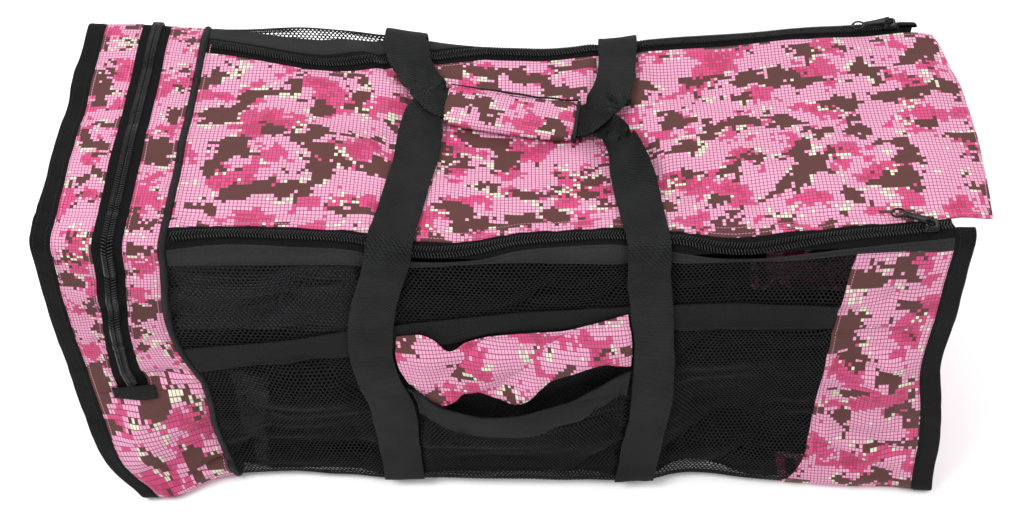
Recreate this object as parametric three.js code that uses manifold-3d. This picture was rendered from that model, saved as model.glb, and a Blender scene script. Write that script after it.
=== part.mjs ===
// A large soft duffel for wet dive gear: camouflage cloth and black net panels, two webbing handles
// joined in a padded grip, a lid closed by two long coil zippers and a zippered end pocket.
// Millimetres, +Z up, +X along the bag, -Y towards its front. The origin is under its middle.
import * as THREE from 'three';
import { mergeVertices } from 'three/addons/utils/BufferGeometryUtils.js';
import Module from 'manifold-3d';

// Driving sizes of the whole bag.
const length = 917;
const height = 400;
const topDepth = 318;
const baseDepth = 344;
const topEdgeRadius = 15;
const baseEdgeRadius = 22;

// Cloth, webbing and seams.
const wall = 2;
const seamGap = 0.3;
const layerGap = 0.5;
const webWidth = 45;
const webThickness = 1.6;
const bindingWidth = 21;
const bindingThickness = 3;
const pipingWidth = 7;
const pipingRise = 2.6;
const endPocketDepth = 104;
const netFold = 48;
const midBandWidth = 26;
const midBandThickness = 1.4;
const sidePanelDepth = 100;
const lidOverhang = 25;

// Zippers, the same coil on all three.
const tapeWidth = 30;
const tapeShown = 24;
const chainWidth = 11;
const chainRise = 2.6;
const tapeRise = 1.2;
const zipBandWidth = 21;
const endZipDrop = 212;
const endTabLength = 15;

// Sliders and pulls.
const sliderLength = 15;
const sliderWidth = 16;
const sliderPlate = 2.2;
const crownThickness = 2.4;
const crownReach = 4.2;
const pullLength = 42;
const pullWidth = 9;
const pullThickness = 1.6;
const pinThickness = 1.6;
const pinPlay = 0.45;

// Grip and centre pocket.
const gripWall = 2.6;
const gripSlack = 1.2;
const pocketTop = 1.53;
const pocketSag = 0.15;
const pocketBulge = 15;
const pocketBindingWidth = 22;

const halfLength = length / 2;
const shareOf = (distance) => distance / halfLength;

// The bag's form, section by section along its length. at is the share of the half length; the tops
// and feet are shares of the half depths, the rises of the height, the bellies and the sag of the
// half depth, the shifts along the bag of the half length, and the slip of the top depth.
const sections = [
  { at: -1.02, frontTop: 0.99, frontRise: 1.01, rearTop: 1.15, rearRise: 1.0, sag: 0.01, frontFoot: 1.15,
    rearFoot: 1.06, frontBelly: -0.02, rearBelly: 0.02, middleShift: 0.0, footShift: 0.02, slip: 0.14 },
  { at: -0.86, frontTop: 1.0, frontRise: 1.0, rearTop: 1.17, rearRise: 0.99, sag: 0.0, frontFoot: 1.11,
    rearFoot: 1.06, frontBelly: 0.01, rearBelly: 0.06, middleShift: -0.006, footShift: 0.035, slip: 0.14 },
  { at: -0.74, frontTop: 0.99, frontRise: 0.99, rearTop: 1.18, rearRise: 0.98, sag: 0.01, frontFoot: 1.0,
    rearFoot: 1.05, frontBelly: 0.05, rearBelly: 0.08, middleShift: 0.0, footShift: 0.048, slip: 0.14 },
  { at: -0.42, frontTop: 0.98, frontRise: 0.98, rearTop: 1.25, rearRise: 0.955, sag: 0.04, frontFoot: 0.97,
    rearFoot: 1.04, frontBelly: 0.07, rearBelly: 0.06, middleShift: 0.0, footShift: 0.03, slip: 0.22 },
  { at: 0.0, frontTop: 0.98, frontRise: 0.955, rearTop: 1.06, rearRise: 0.945, sag: 0.07, frontFoot: 1.0,
    rearFoot: 1.04, frontBelly: 0.05, rearBelly: 0.09, middleShift: 0.02, footShift: 0.03, slip: 0.06 },
  { at: 0.45, frontTop: 0.96, frontRise: 0.97, rearTop: 1.13, rearRise: 0.965, sag: 0.06, frontFoot: 0.98,
    rearFoot: 1.04, frontBelly: 0.04, rearBelly: 0.08, middleShift: 0.01, footShift: 0.02, slip: 0.05 },
  { at: 0.82, frontTop: 0.96, frontRise: 1.0, rearTop: 1.2, rearRise: 0.985, sag: 0.03, frontFoot: 1.08,
    rearFoot: 1.05, frontBelly: 0.0, rearBelly: 0.05, middleShift: -0.005, footShift: 0.045, slip: 0.05 },
  { at: 1.06, frontTop: 0.96, frontRise: 1.025, rearTop: 1.2, rearRise: 1.0, sag: 0.01, frontFoot: 1.09,
    rearFoot: 1.05, frontBelly: -0.03, rearBelly: 0.02, middleShift: 0.0, footShift: 0.075, slip: 0.05 },
];

// Where the cloth has slid along the bag: spread is a share of the half length, run of the height,
// and drift, the slide itself, of the half length.
const drifts = [
  { at: -1.0, around: 1.9, spread: 0.3, run: 0.5, drift: -0.012 },
  { at: -1.0, around: 3.0, spread: 0.25, run: 0.6, drift: -0.02 },
  { at: -0.745, around: 1.72, spread: 0.14, run: 0.16, drift: -0.026 },
  { at: -0.73, around: 1.46, spread: 0.12, run: 0.14, drift: 0.018 },
  { at: -1.0, around: 1.0, spread: 0.12, run: 0.13, drift: 0.07 },
  { at: 1.0, around: 1.54, spread: 0.1, run: 0.1, drift: -0.012 },
  { at: 1.0, around: 1.25, spread: 0.1, run: 0.14, drift: 0.014 },
];

// Soft ridges and hollows in the cloth. at and around give the middle, turn the direction from the
// bag's length in degrees, run and width the size as shares of the height, rise the share of it too.
const folds = [
  { at: -0.5, around: 1.84, turn: 1, run: 0.55, width: 0.04, rise: 0.012 },
  { at: -0.45, around: 1.74, turn: -2, run: 0.6, width: 0.05, rise: -0.012 },
  { at: 0.4, around: 1.82, turn: -1, run: 0.6, width: 0.05, rise: 0.01 },
  { at: -0.47, around: 1.5, turn: 4, run: 0.3, width: 0.11, rise: 0.035 },
  { at: -0.5, around: 1.22, turn: 10, run: 0.3, width: 0.12, rise: -0.02 },
  { at: 0.52, around: 1.35, turn: -6, run: 0.28, width: 0.14, rise: -0.035 },
  { at: 0.5, around: 1.62, turn: 3, run: 0.35, width: 0.08, rise: 0.018 },
  { at: 0.88, around: 1.55, turn: 84, run: 0.4, width: 0.05, rise: 0.018 },
  { at: 0.79, around: 1.35, turn: 96, run: 0.4, width: 0.05, rise: -0.012 },
  { at: -0.87, around: 1.35, turn: 60, run: 0.28, width: 0.05, rise: 0.015 },
  { at: -0.83, around: 1.15, turn: 45, run: 0.24, width: 0.05, rise: -0.012 },
  { at: -0.34, around: 2.86, turn: -24, run: 0.22, width: 0.045, rise: 0.02 },
  { at: -0.5, around: 2.45, turn: 8, run: 0.5, width: 0.12, rise: 0.02 },
  { at: 0.55, around: 2.4, turn: -8, run: 0.55, width: 0.12, rise: 0.018 },
  { at: 0.3, around: 2.72, turn: 14, run: 0.35, width: 0.08, rise: -0.015 },
  { at: 0.1, around: 3.5, turn: 4, run: 0.7, width: 0.14, rise: 0.03 },
  { at: -0.5, around: 3.4, turn: -8, run: 0.4, width: 0.12, rise: -0.02 },
];

// Smooth value of one column of a table between its rows.
function column(table, key, at) {
  const last = table.length - 1;
  let row = 0;
  while (row < last - 1 && at > table[row + 1].at) {
    row += 1;
  }
  const here = table[row];
  const next = table[row + 1];
  const before = table[Math.max(0, row - 1)];
  const after = table[Math.min(last, row + 2)];
  const span = next.at - here.at;
  const t = THREE.MathUtils.clamp((at - here.at) / span, 0, 1);
  const slopeHere = ((next[key] - before[key]) / (next.at - before.at)) * span;
  const slopeNext = ((after[key] - here[key]) / (after.at - here.at)) * span;
  const t2 = t * t;
  const t3 = t2 * t;
  return (2 * t3 - 3 * t2 + 1) * here[key] + (t3 - 2 * t2 + t) * slopeHere
    + (3 * t2 - 2 * t3) * next[key] + (t3 - t2) * slopeNext;
}

// The middle bands of webbing on the two long walls; the front one rises where the pocket's flap hangs.
const midBandPath = [
  { at: -0.72, place: 1.595 },
  { at: -0.3, place: 1.7 },
  { at: 0.0, place: 1.765 },
  { at: 0.3, place: 1.775 },
  { at: 0.76, place: 1.74 },
];
const midBandMiddle = (at) => column(midBandPath, 'place', at);
const rearMidPlace = 3.42;

// The two handles: one length of webbing each, up a wall, over the lid, through the grip and down
// again. heading turns from up the front wall (0) through along the bag (90) to down it (180), roll
// lifts the right-hand edge, and lift is the height over the cloth in webbing thicknesses.
const bandLift = layerGap * 1.4;
const overBands = (bandLift + midBandThickness + layerGap) / webThickness;
const overChain = (layerGap * 4 + chainRise) / webThickness;
const gripFloor = (layerGap * 2 + gripWall + gripSlack) / webThickness;
const gripRoof = gripFloor + 1 + layerGap / webThickness;
const gripEnds = { leftAt: -0.152, leftPlace: 2.675, rightAt: 0.167, rightPlace: 2.605, heading: 98 };
const frontHandlePath = [
  { at: -0.284, place: 1.03, lift: overBands, heading: 0, roll: 0 },
  { at: -0.286, place: 1.4, lift: overBands, heading: 0, roll: 0 },
  { at: -0.305, place: 1.53, lift: overBands, heading: 0, roll: 0 },
  { at: -0.315, place: 1.64, lift: overBands, heading: 0, roll: 0 },
  { at: -0.302, place: 1.79, lift: overBands, heading: 0, roll: 0 },
  { at: -0.272, place: 1.92, lift: overBands, heading: 0, roll: 0 },
  { at: -0.262, place: 1.965, lift: overChain, heading: 0, roll: 0 },
  { at: -0.254, place: 2.0, lift: overChain, heading: 4, roll: 0 },
  { at: -0.248, place: 2.05, lift: overChain, heading: 6, roll: 0 },
  { at: -0.242, place: 2.11, lift: 1.5, heading: 8, roll: 0 },
  { at: -0.228, place: 2.24, lift: 1.2, heading: 10, roll: 0 },
  { at: -0.21, place: 2.42, lift: 1.4, heading: 12, roll: 0 },
  { at: -0.2, place: 2.55, lift: 3.0, heading: 22, roll: 0 },
  { at: -0.182, place: 2.645, lift: gripFloor, heading: 58, roll: 0 },
  { at: gripEnds.leftAt, place: gripEnds.leftPlace, lift: gripFloor, heading: gripEnds.heading, roll: 0 },
  { at: gripEnds.rightAt, place: gripEnds.rightPlace, lift: gripFloor, heading: gripEnds.heading, roll: 0 },
  { at: 0.202, place: 2.582, lift: gripFloor, heading: 114, roll: 0 },
  { at: 0.242, place: 2.515, lift: gripFloor, heading: 146, roll: 0 },
  { at: 0.264, place: 2.42, lift: 6.6, heading: 166, roll: -22 },
  { at: 0.278, place: 2.31, lift: 3.4, heading: 172, roll: -9 },
  { at: 0.291, place: 2.19, lift: 1.4, heading: 174, roll: 0 },
  { at: 0.3, place: 2.09, lift: 1.6, heading: 176, roll: 0 },
  { at: 0.304, place: 2.05, lift: overChain, heading: 178, roll: 0 },
  { at: 0.304, place: 2.0, lift: overChain, heading: 180, roll: 0 },
  { at: 0.303, place: 1.965, lift: overChain, heading: 180, roll: 0 },
  { at: 0.303, place: 1.92, lift: overBands, heading: 180, roll: 0 },
  { at: 0.318, place: 1.65, lift: overBands, heading: 180, roll: 0 },
  { at: 0.318, place: 1.36, lift: overBands, heading: 180, roll: 0 },
  { at: 0.306, place: 1.2, lift: overBands, heading: 180, roll: 0 },
  { at: 0.295, place: 1.03, lift: overBands, heading: 180, roll: 0 },
];
const rearHandlePath = [
  { at: -0.25, place: 3.97, lift: overBands, heading: 180, roll: 0 },
  { at: -0.25, place: 3.5, lift: overBands, heading: 180, roll: 0 },
  { at: -0.25, place: 3.12, lift: overChain, heading: 180, roll: 0 },
  { at: -0.25, place: 3.035, lift: overChain, heading: 180, roll: 0 },
  { at: -0.25, place: 3.0, lift: overChain, heading: 180, roll: 0 },
  { at: -0.248, place: 2.93, lift: 3.8, heading: 176, roll: 0 },
  { at: -0.232, place: 2.83, lift: 4.2, heading: 164, roll: 0 },
  { at: -0.205, place: 2.745, lift: gripRoof, heading: 142, roll: 0 },
  { at: -0.176, place: 2.692, lift: gripRoof, heading: 116, roll: 0 },
  { at: gripEnds.leftAt, place: gripEnds.leftPlace, lift: gripRoof, heading: gripEnds.heading, roll: 0 },
  { at: gripEnds.rightAt, place: gripEnds.rightPlace, lift: gripRoof, heading: gripEnds.heading, roll: 0 },
  { at: 0.204, place: 2.635, lift: 5.2, heading: 66, roll: 0 },
  { at: 0.236, place: 2.695, lift: 6.6, heading: 30, roll: 0 },
  { at: 0.254, place: 2.79, lift: 5.6, heading: 8, roll: 0 },
  { at: 0.264, place: 2.9, lift: 4.0, heading: 3, roll: 0 },
  { at: 0.268, place: 3.0, lift: overChain, heading: 0, roll: 0 },
  { at: 0.268, place: 3.035, lift: overChain, heading: 0, roll: 0 },
  { at: 0.268, place: 3.12, lift: overChain, heading: 0, roll: 0 },
  { at: 0.268, place: 3.5, lift: overBands, heading: 0, roll: 0 },
  { at: 0.268, place: 3.97, lift: overBands, heading: 0, roll: 0 },
];

// The places around a section: 0 and 5 lie under the middle, 1 at the front foot, 2 at the front top
// edge, 3 at the rear top edge and 4 at the rear foot.
const spans = [baseDepth / 2, height, topDepth, height, baseDepth / 2];
const turns = spans.length;
const edgeAt = { frontFoot: 1, frontTop: 2, rearTop: 3, rearFoot: 4 };
const outlineSteps = 14;
const cornerSteps = 8;

// One section's outline as a dense run of points, with the run's length at each place.
function outline(at) {
  const value = (key) => column(sections, key, at);
  const halfTop = topDepth / 2;
  const halfBase = baseDepth / 2;
  const corners = [
    new THREE.Vector2(-value('frontFoot') * halfBase, 0),
    new THREE.Vector2(-value('frontTop') * halfTop, value('frontRise') * height),
    new THREE.Vector2(value('rearTop') * halfTop, value('rearRise') * height),
    new THREE.Vector2(value('rearFoot') * halfBase, 0),
  ];
  const radii = [baseEdgeRadius, topEdgeRadius, topEdgeRadius, baseEdgeRadius];
  const bulges = [value('frontBelly') * halfTop, -value('sag') * halfTop, value('rearBelly') * halfTop, 0];
  const points = [new THREE.Vector2(0, 0)];
  const marks = [0];
  corners.forEach((corner, index) => {
    const before = corners[(index + 3) % 4];
    const after = corners[(index + 1) % 4];
    const radius = radii[index];
    const enter = corner.clone().add(before.clone().sub(corner).setLength(radius));
    const leave = corner.clone().add(after.clone().sub(corner).setLength(radius));
    const bend = new THREE.QuadraticBezierCurve(enter, corner, leave);
    for (let step = 0; step <= cornerSteps; step += 1) {
      points.push(bend.getPoint(step / cornerSteps));
      if (step === cornerSteps / 2) {
        marks.push(points.length - 1);
      }
    }
    if (index < 3) {
      const nextEnter = after.clone().add(corner.clone().sub(after).setLength(radii[index + 1]));
      const run = nextEnter.clone().sub(leave);
      const outward = new THREE.Vector2(-run.y, run.x).normalize();
      for (let step = 1; step < outlineSteps; step += 1) {
        const t = step / outlineSteps;
        const bulge = bulges[index] * Math.sin(Math.PI * t) ** 2;
        points.push(leave.clone().addScaledVector(run, t).addScaledVector(outward, bulge));
      }
    }
  });
  points.push(new THREE.Vector2(0, 0));
  marks.push(points.length - 1);
  const lengths = [0];
  for (let index = 1; index < points.length; index += 1) {
    lengths.push(lengths[index - 1] + points[index].distanceTo(points[index - 1]));
  }
  return { points, lengths, marks };
}

// Height of the folds over the smooth form at one place.
const foldReach = 2.5;
const aroundBefore = spans.map((span, index) => spans.slice(0, index).reduce((sum, each) => sum + each, 0));
const runAround = (around) => {
  const side = Math.min(turns - 1, Math.floor(around));
  return aroundBefore[side] + (around - side) * spans[side];
};
function foldRise(at, around) {
  let rise = 0;
  for (const fold of folds) {
    const along = (at - fold.at) * halfLength;
    const across = runAround(around) - runAround(fold.around);
    const turn = THREE.MathUtils.degToRad(fold.turn);
    const run = (along * Math.cos(turn) + across * Math.sin(turn)) / (fold.run * height);
    const side = (across * Math.cos(turn) - along * Math.sin(turn)) / (fold.width * height);
    if (Math.abs(run) < foldReach && Math.abs(side) < foldReach) {
      rise += fold.rise * height * Math.exp(-run * run - side * side);
    }
  }
  return rise;
}

// Folds die out at the base, at the bound seams of the two ends and under stiff webbing.
const footFade = 0.12;
const endFade = 0.06;
const strapRuns = [
  frontHandlePath.filter((row) => row.heading < 60),
  frontHandlePath.filter((row) => row.heading > 120),
  rearHandlePath.filter((row) => row.heading > 120),
  rearHandlePath.filter((row) => row.heading < 60),
].map((rows) => rows.map((row) => ({ at: row.place, middle: row.at })).sort((a, b) => a.at - b.at));
function clearOfWebbing(at, around) {
  const { smoothstep } = THREE.MathUtils;
  const offBand = Math.min(Math.abs(around - midBandMiddle(at)), Math.abs(around - rearMidPlace)) * height;
  let share = smoothstep(offBand, midBandWidth * 1.2, midBandWidth * 3.5);
  strapRuns.forEach((run) => {
    if (around > run[0].at && around < run[run.length - 1].at) {
      const off = Math.abs(at - column(run, 'middle', around)) * halfLength;
      share *= smoothstep(off, webWidth * 0.5, webWidth * 1.1);
    }
  });
  const offGrip = Math.abs(around - (gripEnds.leftPlace + gripEnds.rightPlace) / 2) * topDepth;
  if (Math.abs(at) < 0.24) {
    share *= smoothstep(offGrip, webWidth * 0.7, webWidth * 1.4);
  }
  return share;
}
function settled(at, around) {
  const { smoothstep } = THREE.MathUtils;
  const fromFloor = Math.min(Math.abs(around - edgeAt.frontFoot), Math.abs(around - edgeAt.rearFoot));
  const onFloor = around < edgeAt.frontFoot || around > edgeAt.rearFoot;
  const base = onFloor ? 0 : smoothstep(fromFloor, 0, footFade);
  return base * smoothstep(1 - Math.abs(at), 0, endFade) * clearOfWebbing(at, around);
}

const outlines = new Map();
function placeOn(at, around) {
  const key = at.toFixed(6);
  if (!outlines.has(key)) {
    outlines.set(key, outline(at));
  }
  const { points, lengths, marks } = outlines.get(key);
  const side = Math.min(turns - 1, Math.floor(around));
  const start = lengths[marks[side]];
  const target = start + (around - side) * (lengths[marks[side + 1]] - start);
  let index = marks[side];
  while (index < marks[side + 1] - 1 && lengths[index + 1] < target) {
    index += 1;
  }
  const t = (target - lengths[index]) / (lengths[index + 1] - lengths[index]);
  const spot = points[index].clone().lerp(points[index + 1], t);
  const drop = 1 - spot.y / height;
  const middle = column(sections, 'middleShift', at);
  const foot = column(sections, 'footShift', at);
  const slide = drifts.reduce((sum, drift) => {
    const aside = (at - drift.at) / drift.spread;
    const up = (runAround(around) - runAround(drift.around)) / (drift.run * height);
    return sum + drift.drift * Math.exp(-aside * aside - up * up);
  }, 0);
  const shift = halfLength * (4 * middle * drop * (1 - drop) + foot * drop * drop + slide);
  return new THREE.Vector3(at * halfLength + shift, spot.x, spot.y);
}

// A point of the bag's surface and its outward direction, with the folds in it.
const nudge = 0.004;
const wrapped = (around) => ((around % turns) + turns) % turns;
function formPoint(at, around) {
  const spot = placeOn(at, around);
  const ahead = placeOn(at, Math.min(turns, around + nudge));
  const behind = placeOn(at, Math.max(0, around - nudge));
  const up = ahead.sub(behind);
  const along = placeOn(at + nudge, around).sub(placeOn(at - nudge, around));
  const outward = new THREE.Vector3().crossVectors(along, up).normalize();
  spot.addScaledVector(outward, foldRise(at, around) * settled(at, around));
  return { spot, outward };
}

// Stations along the bag and rulings around it. Between them every piece follows the same straight
// lines, so that pieces laid over each other stay parallel.
const rootAt = 1 - shareOf(bindingWidth);
const pipingAt = -rootAt + shareOf(endPocketDepth);
const mainStations = 14;
const gussetStation = shareOf(endPocketDepth / 6);
const sideStation = rootAt - shareOf(sidePanelDepth * 0.45);
const netStation = rootAt - shareOf(sidePanelDepth * 1.42);
const stations = [-1, -rootAt, -rootAt + gussetStation, pipingAt - gussetStation];
for (let index = 0; index <= mainStations; index += 1) {
  stations.push(THREE.MathUtils.lerp(pipingAt, netStation, index / mainStations));
}
stations.push(sideStation, rootAt, 1, 1 + shareOf(lidOverhang));

function fromEdge(edge, distance) {
  return edge + distance / (distance < 0 ? spans[edge - 1] : spans[edge]);
}
const endZipLow = fromEdge(edgeAt.frontTop, -endZipDrop);
const endZipRearLow = fromEdge(edgeAt.rearTop, endZipDrop);
const edgeSpread = [0.8, 0.36, 0];
const rulings = [0, turns, endZipLow, endZipRearLow];
[baseEdgeRadius, topEdgeRadius, topEdgeRadius, baseEdgeRadius].forEach((radius, index) => {
  edgeSpread.forEach((share) => {
    rulings.push(fromEdge(index + 1, -share * radius), fromEdge(index + 1, share * radius));
  });
});
const sideRulings = { wall: 8, top: 6 };
const between = (from, to, count) => {
  for (let index = 1; index < count; index += 1) {
    rulings.push(THREE.MathUtils.lerp(from, to, index / count));
  }
};
between(edgeAt.frontFoot, edgeAt.frontTop, sideRulings.wall);
between(edgeAt.frontTop, edgeAt.rearTop, sideRulings.top);
between(edgeAt.rearTop, edgeAt.rearFoot, sideRulings.wall);
rulings.sort((a, b) => a - b);

const gridPoints = new Map();
function gridPoint(station, ruling) {
  const key = station * rulings.length + ruling;
  if (!gridPoints.has(key)) {
    gridPoints.set(key, formPoint(stations[station], rulings[ruling]));
  }
  return gridPoints.get(key);
}
function cellOf(list, value) {
  let index = 0;
  while (index < list.length - 2 && value > list[index + 1]) {
    index += 1;
  }
  return [index, (value - list[index]) / Math.max(1e-9, list[index + 1] - list[index])];
}
const lowest = 0;
function surface(at, aroundAny, rise) {
  const [i, s] = cellOf(stations, at);
  const [j, t] = cellOf(rulings, wrapped(aroundAny));
  const raised = (a, b) => {
    const { spot, outward } = gridPoint(a, b);
    return spot.clone().addScaledVector(outward, rise);
  };
  const spot = raised(i, j).lerp(raised(i + 1, j), s).lerp(raised(i, j + 1).lerp(raised(i + 1, j + 1), s), t);
  spot.z = Math.max(lowest, spot.z);
  return spot;
}

const closest = 0.012;
function placesBetween(from, to) {
  const inside = [];
  for (let lap = -turns; lap <= turns; lap += turns) {
    rulings.forEach((ruling) => {
      const place = ruling + lap;
      if (place > from + closest && place < to - closest) {
        inside.push(place);
      }
    });
  }
  inside.sort((a, b) => a - b);
  const kept = inside.filter((place, index) => index === 0 || place - inside[index - 1] > 1e-6);
  return [from, ...kept, to];
}
function stationsBetween(from, to) {
  const margin = shareOf(2);
  return [from, ...stations.filter((at) => at > from + margin && at < to - margin), to];
}

// A closed solid from two grids of points, outer and inner, over the kept cells.
function solidFromGrids(outer, inner, keep, closed) {
  const columns = outer.length;
  const rows = outer[0].length;
  const positions = [];
  const triangles = [];
  const indexOf = (side, i, j) => side * columns * rows + i * rows + (closed ? j % rows : j);
  [outer, inner].forEach((grid) => {
    grid.forEach((line) => line.forEach((spot) => positions.push(spot.x, spot.y, spot.z)));
  });
  const quad = (a, b, c, d) => triangles.push(a, b, c, a, c, d);
  const cellRows = closed ? rows : rows - 1;
  const present = (i, j) => {
    const row = closed ? (j + rows) % rows : j;
    return i >= 0 && i < columns - 1 && row >= 0 && row < cellRows && keep(i, row);
  };
  for (let i = 0; i < columns - 1; i += 1) {
    for (let j = 0; j < cellRows; j += 1) {
      if (!present(i, j)) {
        continue;
      }
      const corners = [[i, j], [i + 1, j], [i + 1, j + 1], [i, j + 1]];
      quad(...corners.map(([a, b]) => indexOf(0, a, b)));
      quad(...corners.map(([a, b]) => indexOf(1, a, b)).reverse());
      const neighbours = [[i, j - 1], [i + 1, j], [i, j + 1], [i - 1, j]];
      neighbours.forEach(([a, b], side) => {
        if (!present(a, b)) {
          const [p, q] = [corners[side], corners[(side + 1) % 4]];
          quad(indexOf(0, ...q), indexOf(0, ...p), indexOf(1, ...p), indexOf(1, ...q));
        }
      });
    }
  }
  return faced(positions, triangles);
}

// A geometry with only the used points, merged, its faces turned outwards.
function faced(positions, triangles) {
  const used = new Map();
  const packed = [];
  const indices = triangles.map((old) => {
    if (!used.has(old)) {
      used.set(old, packed.length / 3);
      packed.push(...positions.slice(old * 3, old * 3 + 3));
    }
    return used.get(old);
  });
  let volume = 0;
  const corner = (index) => new THREE.Vector3().fromArray(packed, index * 3);
  for (let index = 0; index < indices.length; index += 3) {
    const [a, b, c] = [corner(indices[index]), corner(indices[index + 1]), corner(indices[index + 2])];
    volume += a.dot(b.cross(c)) / 6;
  }
  if (volume < 0) {
    for (let index = 0; index < indices.length; index += 3) {
      [indices[index], indices[index + 1]] = [indices[index + 1], indices[index]];
    }
  }
  const geometry = new THREE.BufferGeometry();
  geometry.setAttribute('position', new THREE.Float32BufferAttribute(packed, 3));
  geometry.setIndex(indices);
  return geometry;
}

// Cloth laid over the form. columns and rows are shares along and places around, or functions of the
// other; rises are the heights of its two faces.
const always = () => true;
const valueAt = (entry, ...places) => (typeof entry === 'function' ? entry(...places) : entry);
function cloth({ columns, rows, bottom, top, keep = always, closed = false }) {
  const grid = (rise) => columns.map((atEntry) => rows.map((rowEntry) => {
    const roughAt = valueAt(atEntry, typeof rowEntry === 'function' ? edgeAt.frontTop : rowEntry);
    const place = valueAt(rowEntry, roughAt);
    const at = valueAt(atEntry, place);
    return surface(at, place, valueAt(rise, place, at));
  }));
  return solidFromGrids(grid(top), grid(bottom), keep, closed);
}

// Finishes.
const colours = { camouflage: 0xd9789a, black: 0x15151a, net: 0x1d1a20, zipper: 0x101013, metal: 0x17171a };
const finishes = { camouflage: 0.75, black: 0.7, net: 0.8, zipper: 0.45, metal: 0.35 };
const bag = new THREE.Group();
function add(name, geometry, finish) {
  const material = new THREE.MeshStandardMaterial({
    color: colours[finish], roughness: finishes[finish], metalness: finish === 'metal' ? 0.4 : 0,
  });
  const mesh = new THREE.Mesh(geometry, material);
  mesh.name = name;
  bag.add(mesh);
  return mesh;
}

const trim = seamGap / 2;
const mainFrom = pipingAt + shareOf(pipingWidth / 2 + seamGap);
const mainTo = rootAt - shareOf(trim);
const clothFaces = { bottom: -wall, top: 0 };
const netEdge = 1 - netFold / (baseDepth / 2);
const mirrored = (place) => turns - place;

// The end pocket: one camouflage gusset round the bag with a slot for its zipper.
const gussetFrom = -rootAt + shareOf(trim);
const gussetTo = pipingAt - shareOf(pipingWidth / 2 + trim);
const zipPath = [
  { at: 1.4, share: 0.39 },
  { at: 1.55, share: 0.4 },
  { at: 1.75, share: 0.51 },
  { at: 2.1, share: 0.53 },
  { at: 3.8, share: 0.52 },
];
const endZipMiddle = (place) => THREE.MathUtils.lerp(gussetFrom, gussetTo, column(zipPath, 'share', place));
const beside = (middle, distance) => (place) => middle(place) + shareOf(distance);
const halfTape = tapeWidth / 2;
const gussetRows = [...placesBetween(0, endZipLow), ...placesBetween(endZipLow, endZipRearLow).slice(1),
  ...placesBetween(endZipRearLow, turns).slice(1, -1)];
const gussetColumns = [
  gussetFrom,
  -rootAt + gussetStation,
  beside(endZipMiddle, -halfTape),
  beside(endZipMiddle, halfTape),
  pipingAt - gussetStation,
  gussetTo,
];
const slotColumn = 2;
add('end_gusset', cloth({
  columns: gussetColumns,
  rows: gussetRows,
  ...clothFaces,
  keep: (i, j) => i !== slotColumn || gussetRows[j] < endZipLow || gussetRows[j] >= endZipRearLow,
  closed: true,
}), 'camouflage');

const tapeTrim = halfTape - seamGap;
const slotTrim = seamGap / height;
add('end_zip_tape', cloth({
  columns: [beside(endZipMiddle, -tapeTrim), endZipMiddle, beside(endZipMiddle, tapeTrim)],
  rows: placesBetween(endZipLow + slotTrim, endZipRearLow - slotTrim),
  bottom: -tapeRise,
  top: 0,
}), 'zipper');

// A coil zipper's closed chain, a low rounded rib on its tape.
const halfChain = chainWidth / 2;
const chainShoulder = chainRise * 0.6;
const chainColumns = (middle) => [-1, -0.5, 0.5, 1].map((side) => beside(middle, side * halfChain));
const chainTopAcross = (middle) => (place, at) => {
  const off = Math.abs(at - middle(place)) / shareOf(halfChain);
  return layerGap + (off > 0.75 ? chainShoulder : chainRise);
};
const tabReach = endTabLength / 2 / height;
add('end_zip_coil', cloth({
  columns: chainColumns(endZipMiddle),
  rows: placesBetween(endZipLow + tabReach, endZipRearLow - tabReach),
  bottom: layerGap,
  top: chainTopAcross(endZipMiddle),
}), 'zipper');

const bandFaces = { bottom: bandLift, top: bandLift + midBandThickness };
const tabLift = bandLift + layerGap;
const tabHalf = webWidth / 2 - 2;
[['front', endZipLow, 1], ['rear', endZipRearLow, -1]].forEach(([side, place, sign]) => {
  const ends = [place - sign * tabReach, place + sign * (tabReach - 2 * slotTrim)].sort((a, b) => a - b);
  add(`end_zip_tab_${side}`, cloth({
    columns: [beside(endZipMiddle, -tabHalf), endZipMiddle, beside(endZipMiddle, tabHalf)],
    rows: ends,
    bottom: tabLift,
    top: tabLift + tapeRise,
  }), 'black');
});

// Bound seams: a stiff flange at each end and a piped seam at the end pocket.
add('left_binding', cloth({
  columns: [-1, -rootAt - shareOf(trim)],
  rows: placesBetween(0, turns).slice(0, -1),
  bottom: -bindingThickness,
  top: 0,
  closed: true,
}), 'black');
const rightBindingTop = bindingThickness * 4;
add('right_binding', cloth({
  columns: [rootAt + shareOf(trim), 1],
  rows: placesBetween(
    fromEdge(edgeAt.rearTop, -rightBindingTop) - turns,
    fromEdge(edgeAt.frontTop, rightBindingTop),
  ),
  bottom: -bindingThickness,
  top: 0,
}), 'black');
const pipingColumns = [-0.5, -0.25, 0.25, 0.5].map((side) => pipingAt + shareOf(side * pipingWidth));
add('piping', cloth({
  columns: pipingColumns,
  rows: placesBetween(0, turns).slice(0, -1),
  bottom: -wall,
  top: (place, at) => {
    const crown = Math.abs(at - pipingAt) > shareOf(pipingWidth * 0.3) ? 0.4 : 1;
    return place < edgeAt.frontFoot || place > edgeAt.rearFoot ? 0 : pipingRise * crown;
  },
  closed: true,
}), 'black');

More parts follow.
